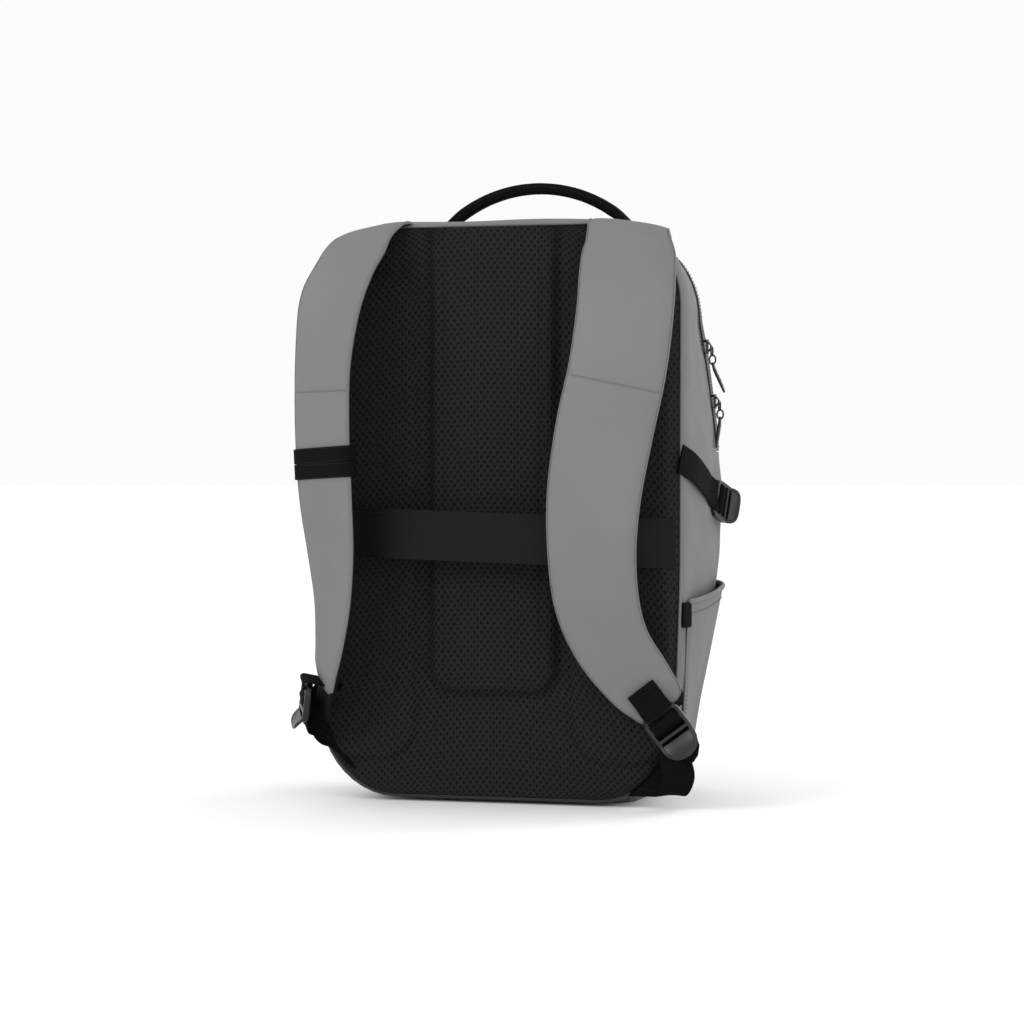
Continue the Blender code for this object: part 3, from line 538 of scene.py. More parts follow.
zs = np.linspace(bottom + INSET, top - INSET - 0.8, 190)[:, None]
share = np.linspace(-1, 1, 150)[None, :]
xs = back_half_width(zs) * share
zs = zs + 0 * xs
middle = to_edge(xs, zs, 52.0, 90.0, 500.0, 20.0)
columns_in = to_edge(np.abs(xs) - 106.0, zs, 41.0, 34.0, 428.0, 30.0)
rim = (1 - np.abs(share)) * 150
height = 0.6 + pillow(rim, 1.4, 6.0)
height = height + pillow(middle, 6.4, 9.0) + pillow(columns_in, 5.6, 10.0)
groove = np.exp(-(((middle + 3.2) / 2.2) ** 2)) + 0.7 * np.exp(-(((middle - 11.0) / 1.6) ** 2))
height = height - 2.0 * groove
crown = 1.5 * np.clip(1 - (xs / 52) ** 2, 0, 1) * (middle > 0)
edge_fall = np.clip(rim / 3.0, 0, 1)
face = np.stack([xs, MESH_TOP_Y + 3.2 - edge_fall * (3.2 + height * 0.93) - crown * 0.5, zs], -1)
back_pad = Shape().grid(face, about=(0, 300, 235))
behind = face.copy()
behind[..., 1] = BACK_Y + 2.5
back_pad.grid(behind, about=(0, -900, 235))
border = np.concatenate([face[0], face[1:-1, -1], face[-1, ::-1], face[-2:0:-1, 0]])
border_behind = border.copy()
border_behind[:, 1] = BACK_Y + 2.5
back_pad.grid(np.stack([border, border_behind]), wrap=True)
back_pad = back_pad.piece(
    "back_padding",
    air_mesh,
    "bag",
    "air_mesh",
    ["back_mesh_panel", "back_centre_pad", "back_side_pad_left", "back_side_pad_right"],
    sharp=60.0,
)

stiffener = Finish("stiffener_sheet", (0.07, 0.07, 0.072), 0.45)
stiffener.relief(stiffener.noise(700.0, 1.0), 0.05)
coat("back_frame_sheet", stiffener)


# Webbing and thread. Black woven webbing shows ribs along its length, and every seam is locked by
# short bonded stitches.
webbing = Finish("black_webbing", (0.0042, 0.0042, 0.0038), 0.7, Specular_IOR_Level=0.02)
u, v = webbing.uv()
ribs = (u * 3.4).cos() * 0.6 + (u * 3.4 + (v * 2.9).sin() * 1.2).cos() * 0.5
webbing.relief(ribs + webbing.noise(500.0, 2.0) * 0.3, 0.24)
# Painted highlight: the rib crests are painted lighter, as sheen on them.
webbing.paint(ribs.above(0.1, 1.0) * 0.6, (0.011, 0.011, 0.0105))

thread = Finish("bonded_thread", (0.006, 0.006, 0.0055), 0.6, Specular_IOR_Level=0.2)
thread.relief(thread.noise(1400.0, 1.0), 0.1)
grey_thread = Finish("grey_thread", (0.12, 0.12, 0.116), 0.6, Specular_IOR_Level=0.3)
grey_thread.relief(grey_thread.noise(1400.0, 1.0), 0.1)


def resampled(path, pitch):
    """Points spaced evenly along a path."""
    run = np.concatenate([[0], np.cumsum(np.linalg.norm(np.diff(path, axis=0), axis=1))])
    count = max(2, int(run[-1] / pitch) + 1)
    spots = np.linspace(0, run[-1], count)
    return np.stack([np.interp(spots, run, path[:, i]) for i in range(3)], 1)


def add_stitches(shape, path, out, pitch=3.4, length=2.3, thick=0.34):
    """A row of stitches: each is a small six-sided bead that sinks into the cloth at both ends."""
    spots = resampled(np.asarray(path, float), pitch)
    along = unit(np.gradient(spots, axis=0))
    out = np.broadcast_to(np.asarray(out, float), spots.shape)
    out = unit(out - along * np.einsum("ij,ij->i", out, along)[:, None])
    side = np.cross(along, out)
    turn = np.linspace(0, 2 * np.pi, 6, endpoint=False)
    reach = np.array([-0.5, -0.25, 0.25, 0.5]) * length
    lift = np.array([-0.3, 0.25, 0.25, -0.3]) * thick * 2
    fat = np.array([0.5, 1.0, 1.0, 0.5]) * thick
    for spot, forward, up, across in zip(spots, along, out, side):
        ring = np.cos(turn)[:, None] * across + np.sin(turn)[:, None] * up
        spine = spot + (reach[:, None] * forward + lift[:, None] * up)[:, None]
        shape.grid(spine + fat[:, None, None] * ring, wrap=True, caps=True)
    return shape


def tape_profile(width, thick):
    """Flat webbing with eased edges, as (across, out) pairs round it."""
    w, t = width / 2, thick / 2
    level = [(x * w, t) for x in (0.86, 0.5, 0, -0.5, -0.86)]
    upper = [(w, 0), (w - 0.5, t * 0.9), *level, (0.5 - w, t * 0.9)]
    return np.array(upper + [(-x, -y) for x, y in upper])


# The trolley band. A wide smooth band is sewn to the back at both ends, so that it slips over the
# tubes of a suitcase's handle. Both long edges are hemmed.
band_cloth = Finish("band_cloth", (0.0058, 0.0059, 0.0051), 0.65, Specular_IOR_Level=0.12)
u, v = band_cloth.uv()
band_cloth.relief(((u + v) * 4.2).sin() * 0.4 + band_cloth.noise(60.0, 3.0) * 1.5, 0.12)
band_half = [(149.5, -88.8), (143.0, -92.6), (134.0, -97.4), (108.0, -108.0)]
band_half += [(84.0, -116.0), (62.0, -118.0), (30.0, -118.5)]
band_points = [*band_half, (0.0, -118.5), *[(-x, y) for x, y in band_half[::-1]]]
band_line = [(x, y, 215.5 - 0.03 * x) for x, y in band_points]
band_path = smooth_path(band_line, 5)
wide = np.linspace(-1, 1, 17)
hem = 0.35 * (np.abs(wide) > 0.86)
band_profile = np.concatenate(
    [np.stack([wide * 19.8, 0.9 + hem], 1), np.stack([wide[::-1] * 19.8, -0.9 - hem], 1)]
)
trolley = add_rod(Shape(), band_path, (0, 0, 1), band_profile)
trolley = trolley.piece("trolley_band_cloth", band_cloth, "bag", "webbing", ["trolley_band"])
band_width, band_out = sides_of(band_path, (0, 0, 1))
facing = band_out if band_out[len(band_out) // 2, 1] < 0 else -band_out
trolley_stitches = Shape()
for level in (-16.6, 16.6):
    add_stitches(trolley_stitches, band_path + band_width * level + facing * 1.15, (0, -1, 0))
trolley_stitches.piece("trolley_band_stitches", thread, "bag", "webbing")


# The shoulder straps. Grey cloth outside and spacer mesh inside hold a core of foam, narrow at the
# bag's top seam, wide over the shoulder and narrow again at the buckle. Both edges are turned in.
RIGHT_STRAP = [
    (110.0, -66.0, 462.0, 0.0, 31.0),
    (110.5, -78.0, 467.5, 0.0, 31.5),
    (111.5, -87.0, 467.0, 0.0, 32.0),
    (113.5, -96.0, 460.0, 0.0, 33.0),
    (116.5, -104.0, 446.0, 1.0, 37.0),
    (118.5, -117.0, 425.0, 3.0, 38.0),
    (119.0, -127.0, 392.0, 6.0, 38.0),
    (114.5, -133.0, 348.0, 8.0, 38.0),
    (105.0, -137.0, 300.0, 8.0, 38.0),
    (97.0, -138.0, 250.0, 8.0, 36.5),
    (94.5, -135.0, 205.0, 8.0, 34.5),
    (97.0, -129.0, 165.0, 9.0, 33.0),
    (107.0, -120.0, 132.0, 10.0, 30.0),
    (125.0, -110.0, 104.0, 12.0, 27.0),
    (137.0, -105.0, 89.5, 14.0, 23.0),
    (145.0, -102.5, 80.0, 15.0, 20.0),
]
LEFT_STRAP = [
    (-100.0, -66.0, 462.0, 0.0, 30.0),
    (-102.5, -78.0, 467.5, -2.0, 30.0),
    (-105.5, -88.0, 467.0, -5.0, 30.0),
    (-110.0, -98.5, 460.0, -10.0, 31.0),
    (-115.5, -107.5, 446.0, -17.0, 36.0),
    (-121.5, -119.5, 424.0, -26.0, 39.0),
    (-126.0, -128.0, 392.0, -33.0, 39.5),
    (-129.5, -131.0, 350.0, -37.0, 39.0),
    (-129.5, -132.0, 300.0, -37.0, 38.0),
    (-127.0, -132.0, 250.0, -37.0, 37.0),
    (-123.0, -131.0, 205.0, -40.0, 35.0),
    (-122.0, -129.0, 165.0, -45.0, 32.0),
    (-125.5, -126.0, 132.0, -50.0, 30.0),
    (-130.5, -121.5, 106.0, -54.0, 26.0),
    (-133.0, -118.5, 93.0, -56.0, 20.0),
]
strap_mesh = Finish("strap_mesh", (0.0075, 0.0075, 0.0068), 0.75, Specular_IOR_Level=0.14)
perforate(strap_mesh)


def strap_stations(control, steps=8):
    """Centres, width directions, outward normals and half widths along a strap."""
    rows = smooth_path(control, steps)
    centre, turn = rows[:, :3], np.radians(rows[:, 3])
    width, out = sides_of(centre, np.stack([np.cos(turn), np.sin(turn), 0 * turn], 1))
    return centre, width, out, rows[:, 4]


def strap_layer(stations, profile, fullness, tip):
    """A closed profile in (share of the half width, out), thinned at the top and rounded at the tip.

    The width shrinks near the tip as the square root of 1 - s cubed, where s is the share of the
    last few millimetres.
    """
    centre, width, out, half = stations
    run = np.concatenate([[0], np.cumsum(np.linalg.norm(np.diff(centre, axis=0), axis=1))])
    left = (run[-1] - run) / tip
    narrowing = np.sqrt(np.clip(1 - np.clip(1 - left, 0, 1) ** 3, 0.0, 1)) * 0.4 + 0.6
    across = profile[None, :, :1] * (half * narrowing)[:, None, None]
    lift = profile[None, :, 1:] * fullness[:, None, None]
    return centre[:, None] + width[:, None] * across + out[:, None] * lift


def make_strap(side, control, droop, lining_end):
    """The cover, the lining, the turned edges and the stitches of one strap.

    Near the top seam the whole strap droops outwards, by droop times the square of the distance
    past 60 mm from the bag's middle.
    """
    stations = strap_stations(control)
    centre, width, out, half = stations
    run = np.concatenate([[0], np.cumsum(np.linalg.norm(np.diff(centre, axis=0), axis=1))])
    fullness = np.clip(0.22 + run / 62, 0, 1) * np.clip((run[-1] - run) / 26 + 0.35, 0, 1)
    share = np.sin(np.linspace(-np.pi / 2, np.pi / 2, 25))
    dome = np.clip(1 - np.abs(share) ** 4, 0, 1) ** 0.5
    upper = np.stack([share, 1.6 + 4.6 * dome], 1)
    lower = np.stack([share[::-1], 1.5 - 7.6 * dome], 1)
    cover = np.concatenate([upper, np.stack([share[-2:0:-1], 1.55 + 0 * share[1:-1]], 1)])
    under = np.concatenate([lower, np.stack([share[1:-1], 1.52 + 0 * share[1:-1]], 1)])
    puckers = 0.22 * np.sin(run / 3.1) * np.sin(run / 47 + 1)

    def settled(rows):
        past = np.clip(np.abs(rows[..., 0]) - 60, 0, None) ** 2
        fade = np.clip((rows[..., 2] - 395) / 60, 0, 1)
        rows = rows.copy()
        rows[..., 2] -= droop * past * fade
        return rows

    rows = strap_layer(stations, cover, fullness, 9.0)
    rows = settled(rows + out[:, None] * (puckers[:, None, None] * (np.abs(cover[:, :1]) ** 6)[None]))
    pieces = []
    cloth = Shape().grid(rows, wrap=True, caps=True)
    cover = [f"{side}_strap_cover"]
    pieces.append(cloth.piece(f"{side}_strap_cloth", shell_cloth, None, "shell_fabric", cover))
    lining_stations = strap_stations([*control, lining_end])
    lining_run, cover_run = np.linspace(0, 1, len(lining_stations[0])), np.linspace(0, 1, len(fullness))
    fullness_under = np.interp(lining_run, cover_run, fullness)
    rows = settled(strap_layer(lining_stations, under, fullness_under, 9.0))
    mesh = Shape().grid(rows, wrap=True, caps=True)
    pieces.append(mesh.piece(f"{side}_strap_mesh", strap_mesh, None, "air_mesh", [f"{side}_strap_lining"]))
    edges = Shape()
    rim = settled(strap_layer(stations, np.array([(-1.0, 1.9), (1.0, 1.9)]), fullness, 9.0))
    for edge in (rim[:, 0], rim[:, 1]):
        add_rod(edges, edge[2:], out[2:], rounded(1.3, 0.6, sides=10))
    pieces.append(edges.piece(f"{side}_strap_edges", shell_cloth, None, "shell_fabric"))
    seam = Shape()
    join = int(np.argmin(np.abs(centre[:, 2] - 334.0)))
    seam_across = width[join] * (share[2:-2, None] * half[join])
    seam_line = centre[join] + seam_across + out[join] * (1.75 + 4.6 * dome[2:-2, None])
    add_rod(seam, seam_line, out[join], rounded(0.35, 0.6, sides=6))
    pieces.append(seam.piece(f"{side}_strap_seams", grey_thread, None, "shell_fabric"))
    top, shoulder = centre[int(len(centre) * 0.10)], centre[int(len(centre) * 0.42)]
    for piece in pieces:
        top * MM
        shoulder * MM
        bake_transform(piece)
    return stations


make_strap("right", RIGHT_STRAP, 0.0015, (147.0, -101.5, 77.0, 15.0, 17.0))
left_stations = make_strap("left", LEFT_STRAP, 0.0022, (-139.0, -110.0, 70.0, -50.0, 17.0))

centre, width, out, half = left_stations
keeper = int(np.argmin(np.abs(centre[:, 2] - 276.0)))
turn = np.linspace(0, 2 * np.pi, 48, endpoint=False)
c, s = np.cos(turn), np.sin(turn)
oval = np.stack([np.sign(c) * np.abs(c) ** 0.42, np.sign(s) * np.abs(s) ** 0.5], 1)
keeper_band = Shape()
keeper_stitches = Shape()
for offset in (-6.3, 6.3):
    spot = centre[keeper] + np.cross(width[keeper], out[keeper]) * offset
    loop = spot + width[keeper] * (oval[:, :1] * (half[keeper] + 1.6))
    loop = loop + out[keeper] * (oval[:, 1:] * 6.9 + 0.1)
    add_loop(keeper_band, loop, np.cross(width[keeper], out[keeper]), tape_profile(12.4, 1.3))
for offset in (-11.6, -1.2, 1.2, 11.6):
    spot = centre[keeper] + np.cross(width[keeper], out[keeper]) * offset
    loop = spot + width[keeper] * (oval[:25, :1] * (half[keeper] + 1.6))
    loop = loop + out[keeper] * (oval[:25, 1:] * 6.9 + 0.8)
    add_stitches(keeper_stitches, loop, out[keeper], pitch=2.6, length=1.8, thick=0.26)
keeper_band.piece("left_keeper_webbing", webbing, "left_strap", "webbing", ["left_keeper_band"])
keeper_stitches.piece("left_keeper_stitches", thread, "left_strap", "webbing")


# The ladder locks. Each is moulded in one piece: a frame with a sewing bar, two ladder bars and a
# thumb tab that curls outwards. Webbing sewn to the strap holds the sewing bar.
moulded = Finish("moulded_black", (0.005, 0.005, 0.005), 0.28, Specular_IOR_Level=0.4)
moulded.relief(moulded.noise(900.0, 2.0), 0.03)
moulded.vary_roughness(moulded.noise(35.0, 2.0) * 0.18 + 0.22)


class Seat:
    """A place and three directions: out of the face, across the width and back along the webbing."""

    def __init__(self, origin, up, hint):
        self.origin = np.array(origin, float)
        self.up = unit(np.array(up, float))
        hint = np.array(hint, float)
        self.across = unit(hint - self.up * hint.dot(self.up))
        self.out = np.cross(self.across, self.up)

    def at(self, points):
        """Local (out, across, up) points as places on the bag."""
        points = np.asarray(points, float)
        sideways = points[..., :1] * self.out + points[..., 1:2] * self.across
        return self.origin + sideways + points[..., 2:] * self.up


def lock_shape(seat, width, tab=15.0):
    """The frame is a rounded ring. Bars cross it, and the tab is a curled plate with a round end."""
    shape = Shape()
    reach, low, high = width / 2 + 1.8, -25.6, 0.4
    corner = 4.5
    turn = np.linspace(0, 2 * np.pi, 40, endpoint=False) + np.pi / 4
    c, s = np.cos(turn), np.sin(turn)
    ring = np.stack(
        [
            0.5 * np.sin(turn) ** 2,
            np.clip(np.sign(c) * np.abs(c) ** 0.3, -1, 1) * reach,
            (low + high) / 2 + np.sign(s) * np.abs(s) ** 0.3 * (high - low) / 2,
        ],
        1,
    )
    add_loop(shape, seat.at(ring), seat.out, rounded(2.7, 1.9, 3.0))
    for level, lift, thick in ((0.2, 0.0, 2.0), (-9.8, 0.9, 1.9), (-19.0, 0.4, 1.7)):
        line = seat.at(np.stack([np.full(9, lift), np.linspace(-reach, reach, 9), np.full(9, level)], 1))
        add_rod(shape, line, seat.out, rounded(2.1, thick, 3.0, 10))
    along = np.sin(np.linspace(0, np.pi / 2, 16))[:, None]
    across = np.linspace(-1, 1, 25)[None, :]
    tab_half = (reach + 0.4) * np.sqrt(np.clip(1 - (along * 0.985) ** 2.6, 0, 1))
    bowl = 2.2 * (across * tab_half / reach) ** 2
    lift = 1.4 + 5.6 * along**1.5 + 1.3 * np.sin(np.pi * along) + bowl * along
    up = low + 2.4 - tab * along + 0 * across
    thick = 1.3 * np.clip(1 - across**8, 0, 1) ** 0.5 + 0 * along
    face = np.stack(np.broadcast_arrays(lift + thick, across * tab_half, up), -1)
    back = np.stack(np.broadcast_arrays(lift - thick, across * tab_half, up), -1)
    body = np.concatenate([face, back[:, ::-1]], 1)
    shape.grid(seat.at(body), wrap=True, caps=True)
    rim = np.stack([(lift + 0 * up)[:, 0], -(tab_half[:, 0] - 0.5), up[:, 0]], 1)
    other = rim[::-1] * np.array([1, -1, 1])
    add_rod(shape, seat.at(np.concatenate([rim, other])), seat.out, rounded(1.3, 1.5, sides=10))
    return shape


def ribbon(shape, seat, line, hint=None, width=25.0, thick=1.5, steps=6):
    """Webbing through points, with its width across the seat."""
    path = smooth_path(line, steps)
    return add_rod(shape, path, seat.across if hint is None else hint, tape_profile(width, thick))


right_lock = Seat((142.6, -111.6, 77.5), (-0.56, -0.2, 0.80), (0.97, 0.24, 0.0))
left_lock = Seat((-148.5, -120.5, 94.0), (0.18, -0.15, 0.97), (0.46, -0.89, 0.0))
for side, moulding in (("right", lock_shape(right_lock, 25.0)), ("left", lock_shape(left_lock, 25.0, 11.0))):
    ladder = [f"{side}_ladder_lock"]
    moulding.piece(f"{side}_lock_moulding", moulded, f"{side}_lock", "moulded_plastic", ladder)

for side, lock, start, lower, seam_hint in (
    (
        "right",
        right_lock,
        ((129.0, -118.6, 97.5), (135.8, -115.8, 88.0)),
        ((139.0, -87.0, 12.0), (149.0, -94.0, 14.0), (156.0, -100.0, 27.0), (154.0, -103.0, 42.0)),
        (0.97, 0.24, 0.0),
    ),
    (
        "left",
        left_lock,
        ((-122.0, -112.0, 93.0), (-133.0, -116.5, 97.0)),
        ((-138.0, -84.0, 48.0), (-143.0, -92.0, 52.0), (-147.0, -102.0, 54.0), (-149.5, -111.0, 59.0)),
        (0.55, 0.0, -0.83),
    ),
):
    loop = Shape()
    round_bar = ((2.9, 0, 6.5), (2.9, 0, 1.0), (0.2, 0, -2.4), (-2.7, 0, 0.6), (-2.2, 0, 7.0))
    sewing_bar = [lock.at(p) for p in round_bar]
    ribbon(loop, lock, [*start, *sewing_bar])
    loop.piece(f"{side}_buckle_webbing", webbing, f"{side}_strap", "webbing", [f"{side}_buckle_loop"])
    tacks = Shape()
    first, second = (np.array(p) for p in start)
    for share in (0.15, 0.4):
        spot = first + (second - first) * share
        row = spot + lock.across * np.linspace(-10, 10, 5)[:, None] + lock.out * 1.0
        add_stitches(tacks, row, lock.out, pitch=2.4, length=1.8, thick=0.3)
    tacks.piece(f"{side}_buckle_stitches", thread, f"{side}_strap", "webbing")
    down = Shape()
    threaded = [(-3.4, 0, -33.0), (-3.2, 0, -17.0), (0.2, 0, -14.4)]
    threaded += [(3.1, 0, -10.4), (1.2, 0, -5.6), (-2.6, 0, -6.2)]
    path = smooth_path([*lower, *(lock.at(p) for p in threaded)], 6)
    share = np.clip(np.linspace(0, 2.2, len(path)), 0, 1)[:, None]
    add_rod(down, path, np.array(seam_hint) * (1 - share) + lock.across * share, tape_profile(25.0, 1.5))
    loose_end = ((-2.8, 0, -7.6), (-5.0, 0, -18.0), (-5.8, 0, -26.0), (-6.2, 0, -31.0))
    ribbon(down, lock, [lock.at(p) for p in loose_end])
    down = down.piece(f"{side}_lower_webbing", webbing, None, "webbing", [f"{side}_webbing"])
    lock.at((-3.4, 0, -26.0)) * MM
    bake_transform(down)


# The strap anchors. A triangle of folded webbing is caught in the seam at each lower corner of the
# back, and the end of the lower webbing is boxed onto it.
for side, seam_low, seam_high, tip, tip_across in (
    ("right", (106.0, -82.0, 9.0), (145.0, -82.0, 56.0), (149.0, -95.0, 17.0), (0.9, 0.2, 0.4)),
    ("left", (-104.0, -82.0, 9.0), (-150.0, -82.0, 100.0), (-152.5, -104.0, 72.0), (-0.1, 0.0, 0.99)),
):
    tip, tip_across = np.array(tip), unit(np.array(tip_across))
    base_ends = np.array([seam_low, seam_high])
    tip_ends = np.array([tip - tip_across * 14.0, tip + tip_across * 14.0])
    along = np.linspace(0, 1, 14)[:, None, None]
    across = np.linspace(0, 1, 13)[None, :, None]
    lower_line = base_ends[0] * (1 - across) + base_ends[1] * across
    upper_line = tip_ends[0] * (1 - across) + tip_ends[1] * across
    sheet_rows = lower_line * (1 - along) + upper_line * along
    normal = unit(np.cross(np.gradient(sheet_rows, axis=0), np.gradient(sheet_rows, axis=1)))
    both_faces = [sheet_rows + normal * 0.9, (sheet_rows - normal * 0.9)[:, ::-1]]
    patch = Shape().grid(np.concatenate(both_faces, 1), wrap=True, caps=True)
    patch.piece(f"{side}_anchor_patch", webbing, "bag", "webbing", [f"strap_anchor_{side}"])
    box_stitch = Shape()
    for column in (2, 10):
        for face_sign in (1, -1):
            row = sheet_rows[2:, column] + normal[2:, column] * 1.1 * face_sign
            face_out = normal[6, column] * face_sign
            add_stitches(box_stitch, row, face_out, pitch=2.6, length=1.9, thick=0.28)
    box_stitch.piece(f"{side}_anchor_stitches", thread, "bag", "webbing")


# The carry handle. Padded webbing is folded into a firm round grip, and its two flat feet are sewn
# to the top of the bag between the back seam and the zip.
low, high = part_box("carry_handle")
handle_x, handle_y = (low.x + high.x) / 2 / MM, (low.y + high.y) / 2 / MM
foot_x, rise, handle_z = 80.0, 33.0, 468.0
radius = (foot_x**2 + rise**2) / (2 * rise)
spread = math.asin(foot_x / radius) + 0.065
angles = np.linspace(-spread, spread, 49)
arc = np.stack(
    [
        handle_x + radius * np.sin(angles),
        np.full(49, handle_y),
        handle_z + radius * np.cos(angles) - radius + rise,
    ],
    1,
)
foot = np.clip((np.abs(angles) / spread - 0.72) / 0.28, 0, 1)
grip = carried(arc, (0, 1, 0), rounded(1.0, 1.0, 2.9, 20))
centre_line = arc[:, None]
offset_vectors = grip - centre_line
swing, out = sides_of(arc, (0, 1, 0))
across_part = np.einsum("ijk,ik->ij", offset_vectors, swing)[..., None] * swing[:, None]
out_part = np.einsum("ijk,ik->ij", offset_vectors, out)[..., None] * out[:, None]
grip_across = across_part * (6.2 + 3.0 * foot)[:, None, None]
grip = centre_line + grip_across + out_part * (4.7 - 2.4 * foot)[:, None, None]
handle = Shape().grid(grip, wrap=True, caps=True)
handle = handle.piece("carry_handle_grip", webbing, None, "webbing", ["carry_handle"])
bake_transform(handle)
handle_stitches = Shape()
for side_y in (-6.0, 6.0):
    row = arc[8:-8] + np.array([0, side_y * 0.98, 0]) + out[8:-8] * 1.4
    add_stitches(handle_stitches, row, (0, math.copysign(1, side_y), 0))
handle_stitches.piece("carry_handle_stitches", thread, "carry_handle", "webbing")
for side, sign in (("left", -1), ("right", 1)):
    coat(f"handle_anchor_{side}", webbing)


# The main zip. Woven tape runs round the bag and the flap, a nylon coil is sewn along each edge, and
# two sliders carry ring links and long moulded pulls.
zip_cloth = Finish("zip_tape_cloth", (0.007, 0.007, 0.0068), 0.72, Specular_IOR_Level=0.25)
u, v = zip_cloth.uv()
zip_cloth.relief((u * 6.0).sin() * 0.5 + ((u + v) * 3.0).sin() * 0.4, 0.14)
coil_nylon = Finish("zip_coil_nylon", (0.02, 0.02, 0.02), 0.35)
coil_nylon.relief(coil_nylon.noise(800.0, 1.0), 0.04)
slider_metal = Finish("slider_black", (0.03, 0.03, 0.031), 0.28, Metallic=0.85)
slider_metal.relief(slider_metal.noise(500.0, 2.0), 0.03)
slider_metal.vary_roughness(slider_metal.noise(90.0, 2.0) * 0.2 + 0.2)


def arch(depth, offset):
    """The zip's line at a depth: up the right side, over the top and down the left side."""
    ring = outline(np.array([depth]), FOLD_Z + 4.0)[0][FOLD_COLUMN : 2 * TOP_COLUMN - FOLD_COLUMN + 1]
    away = unit(np.gradient(ring, axis=0))
    away = np.cross(away, (0, 1, 0))
    if away[0, 0] < 0:
        away = -away
    return ring + away * offset, away


for body, side_y, node in (("bag", -1, "main_zip_tape_bag"), ("flap", 1, "main_zip_tape_flap")):
    line, away = arch(ZIP_Y + side_y * 0.6, 0.9)
    strip = np.linspace(0, 1, 7)
    rise_of = 0.55 * np.exp(-((strip - 0.1) ** 2) / 0.02) - 0.4 * strip
    top_rows = line[:, None] + np.array([0, side_y * 9.2, 0]) * strip[None, :, None]
    top_rows = top_rows + away[:, None] * rise_of[None, :, None]
    rows = np.concatenate([top_rows, (top_rows - away[:, None] * 0.8)[:, ::-1]], 1)
    tape = Shape().grid(rows, wrap=True, caps=True)
    tape.piece(f"{node}_cloth", zip_cloth, body, "zip_tape", [node])
    rows_of_stitches = Shape()
    row = line + np.array([0, side_y * 7.4, 0]) + away * 0.35
    add_stitches(rows_of_stitches, row, away[0], pitch=3.0, length=2.0, thick=0.26)
    rows_of_stitches.piece(f"{node}_stitches", thread, body, "zip_tape")

line, away = arch(ZIP_Y, 1.6)
spots = resampled(line, 2.1)
forward = unit(np.gradient(spots, axis=0))
lift = unit(np.cross(forward, (0, 1, 0)))
lift = lift if lift[0, 0] > 0 else -lift
teeth = Shape()
for side_y, shift in ((-1, 0.0), (1, 1.05)):
    middle_points = spots + forward * shift + np.array([0, side_y * 0.75, 0])
    corners = np.array([(-0.42, -0.95, -0.5), (0.42, -0.95, -0.5), (0.42, 0.95, -0.5), (-0.42, 0.95, -0.5)])
    for spot, go, up in zip(middle_points, forward, lift):
        low_ring = spot + corners[:, :1] * go + corners[:, 1:2] * np.array([0, 1.0, 0]) + corners[:, 2:] * up
        drawn_in_ring = (low_ring + up * 1.25) * 0.4 + (spot + up * 0.75) * 0.6
        teeth.grid(np.stack([low_ring, low_ring + up * 0.8, drawn_in_ring]), wrap=True, caps=True)
teeth.piece("main_zip_teeth", coil_nylon, "bag", "zip_tape", ["main_zip_coil"])


def ring_path(centre, radius, axis_a, axis_b, stretch=1.0, count=28):
    """A circle, or an oval with a stretch, in the plane of two directions."""
    turn = np.linspace(0, 2 * np.pi, count, endpoint=False)
    return centre + radius * (np.cos(turn)[:, None] * axis_a + stretch * np.sin(turn)[:, None] * axis_b)


X, Y, Z = np.eye(3)
for level, slider_x, height_z in (("upper", 145.3, 370.0), ("lower", 151.8, 325.0)):
    seat = np.array([slider_x, ZIP_Y, height_z])
    body = Shape()
    for out_x, half_w in ((1.0, 3.6), (4.6, 4.3)):
        rows = np.linspace(0, 1, 9)[:, None]
        waist = half_w * (1 - 0.25 * np.sin(np.pi * rows) ** 2)
        profile = rounded(1.0, 1.0, 3.0, 12)
        ring = np.stack(
            [
                seat[0] + out_x + 0.75 * profile[:, 1] + 0 * rows,
                seat[1] + waist * profile[:, 0],
                seat[2] - 6.0 + 12.0 * rows + 0 * profile[:, 0],
            ],
            -1,
        )
        body.grid(ring, wrap=True, caps=True)
    add_rod(body, np.array([seat + X * 1.0 + Z * 4.6, seat + X * 4.6 + Z * 4.6]), Y, rounded(1.4, 1.2))
    bridge_out = 5.0 + 2.6 * np.sin(np.linspace(0, np.pi, 11))
    bridge = seat + np.stack([bridge_out, np.zeros(11), np.linspace(4.2, -4.2, 11)], 1)
    add_rod(body, bridge, Y, rounded(1.5, 0.7, 3.0))
    slider = [f"main_slider_{level}"]
    body.piece(f"main_slider_{level}_body", slider_metal, f"{level}_slider", "zip_slider", slider)
    pull = Shape()
    link = seat + X * 8.2 - Z * 3.6
    add_loop(pull, ring_path(link, 3.4, Y, Z, 1.15), X, rounded(0.75, 0.75, sides=8))
    second = link - Z * 7.0 + X * 0.6
    add_loop(pull, ring_path(second, 2.9, X * 0.9, Z, 1.3), Y, rounded(0.75, 0.75, sides=8))
    sway = np.array([0.42, 0.0, 0.0]) if level == "upper" else np.array([-0.02, -0.5, 0.0])
    hangs = [(2.4, 0), (9, 5), (18, 15), (27, 24)]
    grip_line = smooth_path([second - Z * fall + sway * aside for fall, aside in hangs], 6)
    swell = 0.62 + 0.38 * np.sin(np.pi * np.linspace(0, 1, len(grip_line))) ** 0.7
    add_rod(pull, grip_line, Y, rounded(2.7, 1.4, 2.6, 14), scale=swell)
    for share in (0.35, 0.5, 0.65, 0.8):
        spot = grip_line[int(share * (len(grip_line) - 1))]
        add_loop(pull, ring_path(spot, 2.55, Y, X, 0.55, 16), Z, rounded(0.35, 0.35, sides=6))
    pull_node = [f"main_pull_{level}"]
    pull.piece(f"main_pull_{level}_moulding", moulded, f"{level}_pull", "moulded_plastic", pull_node)


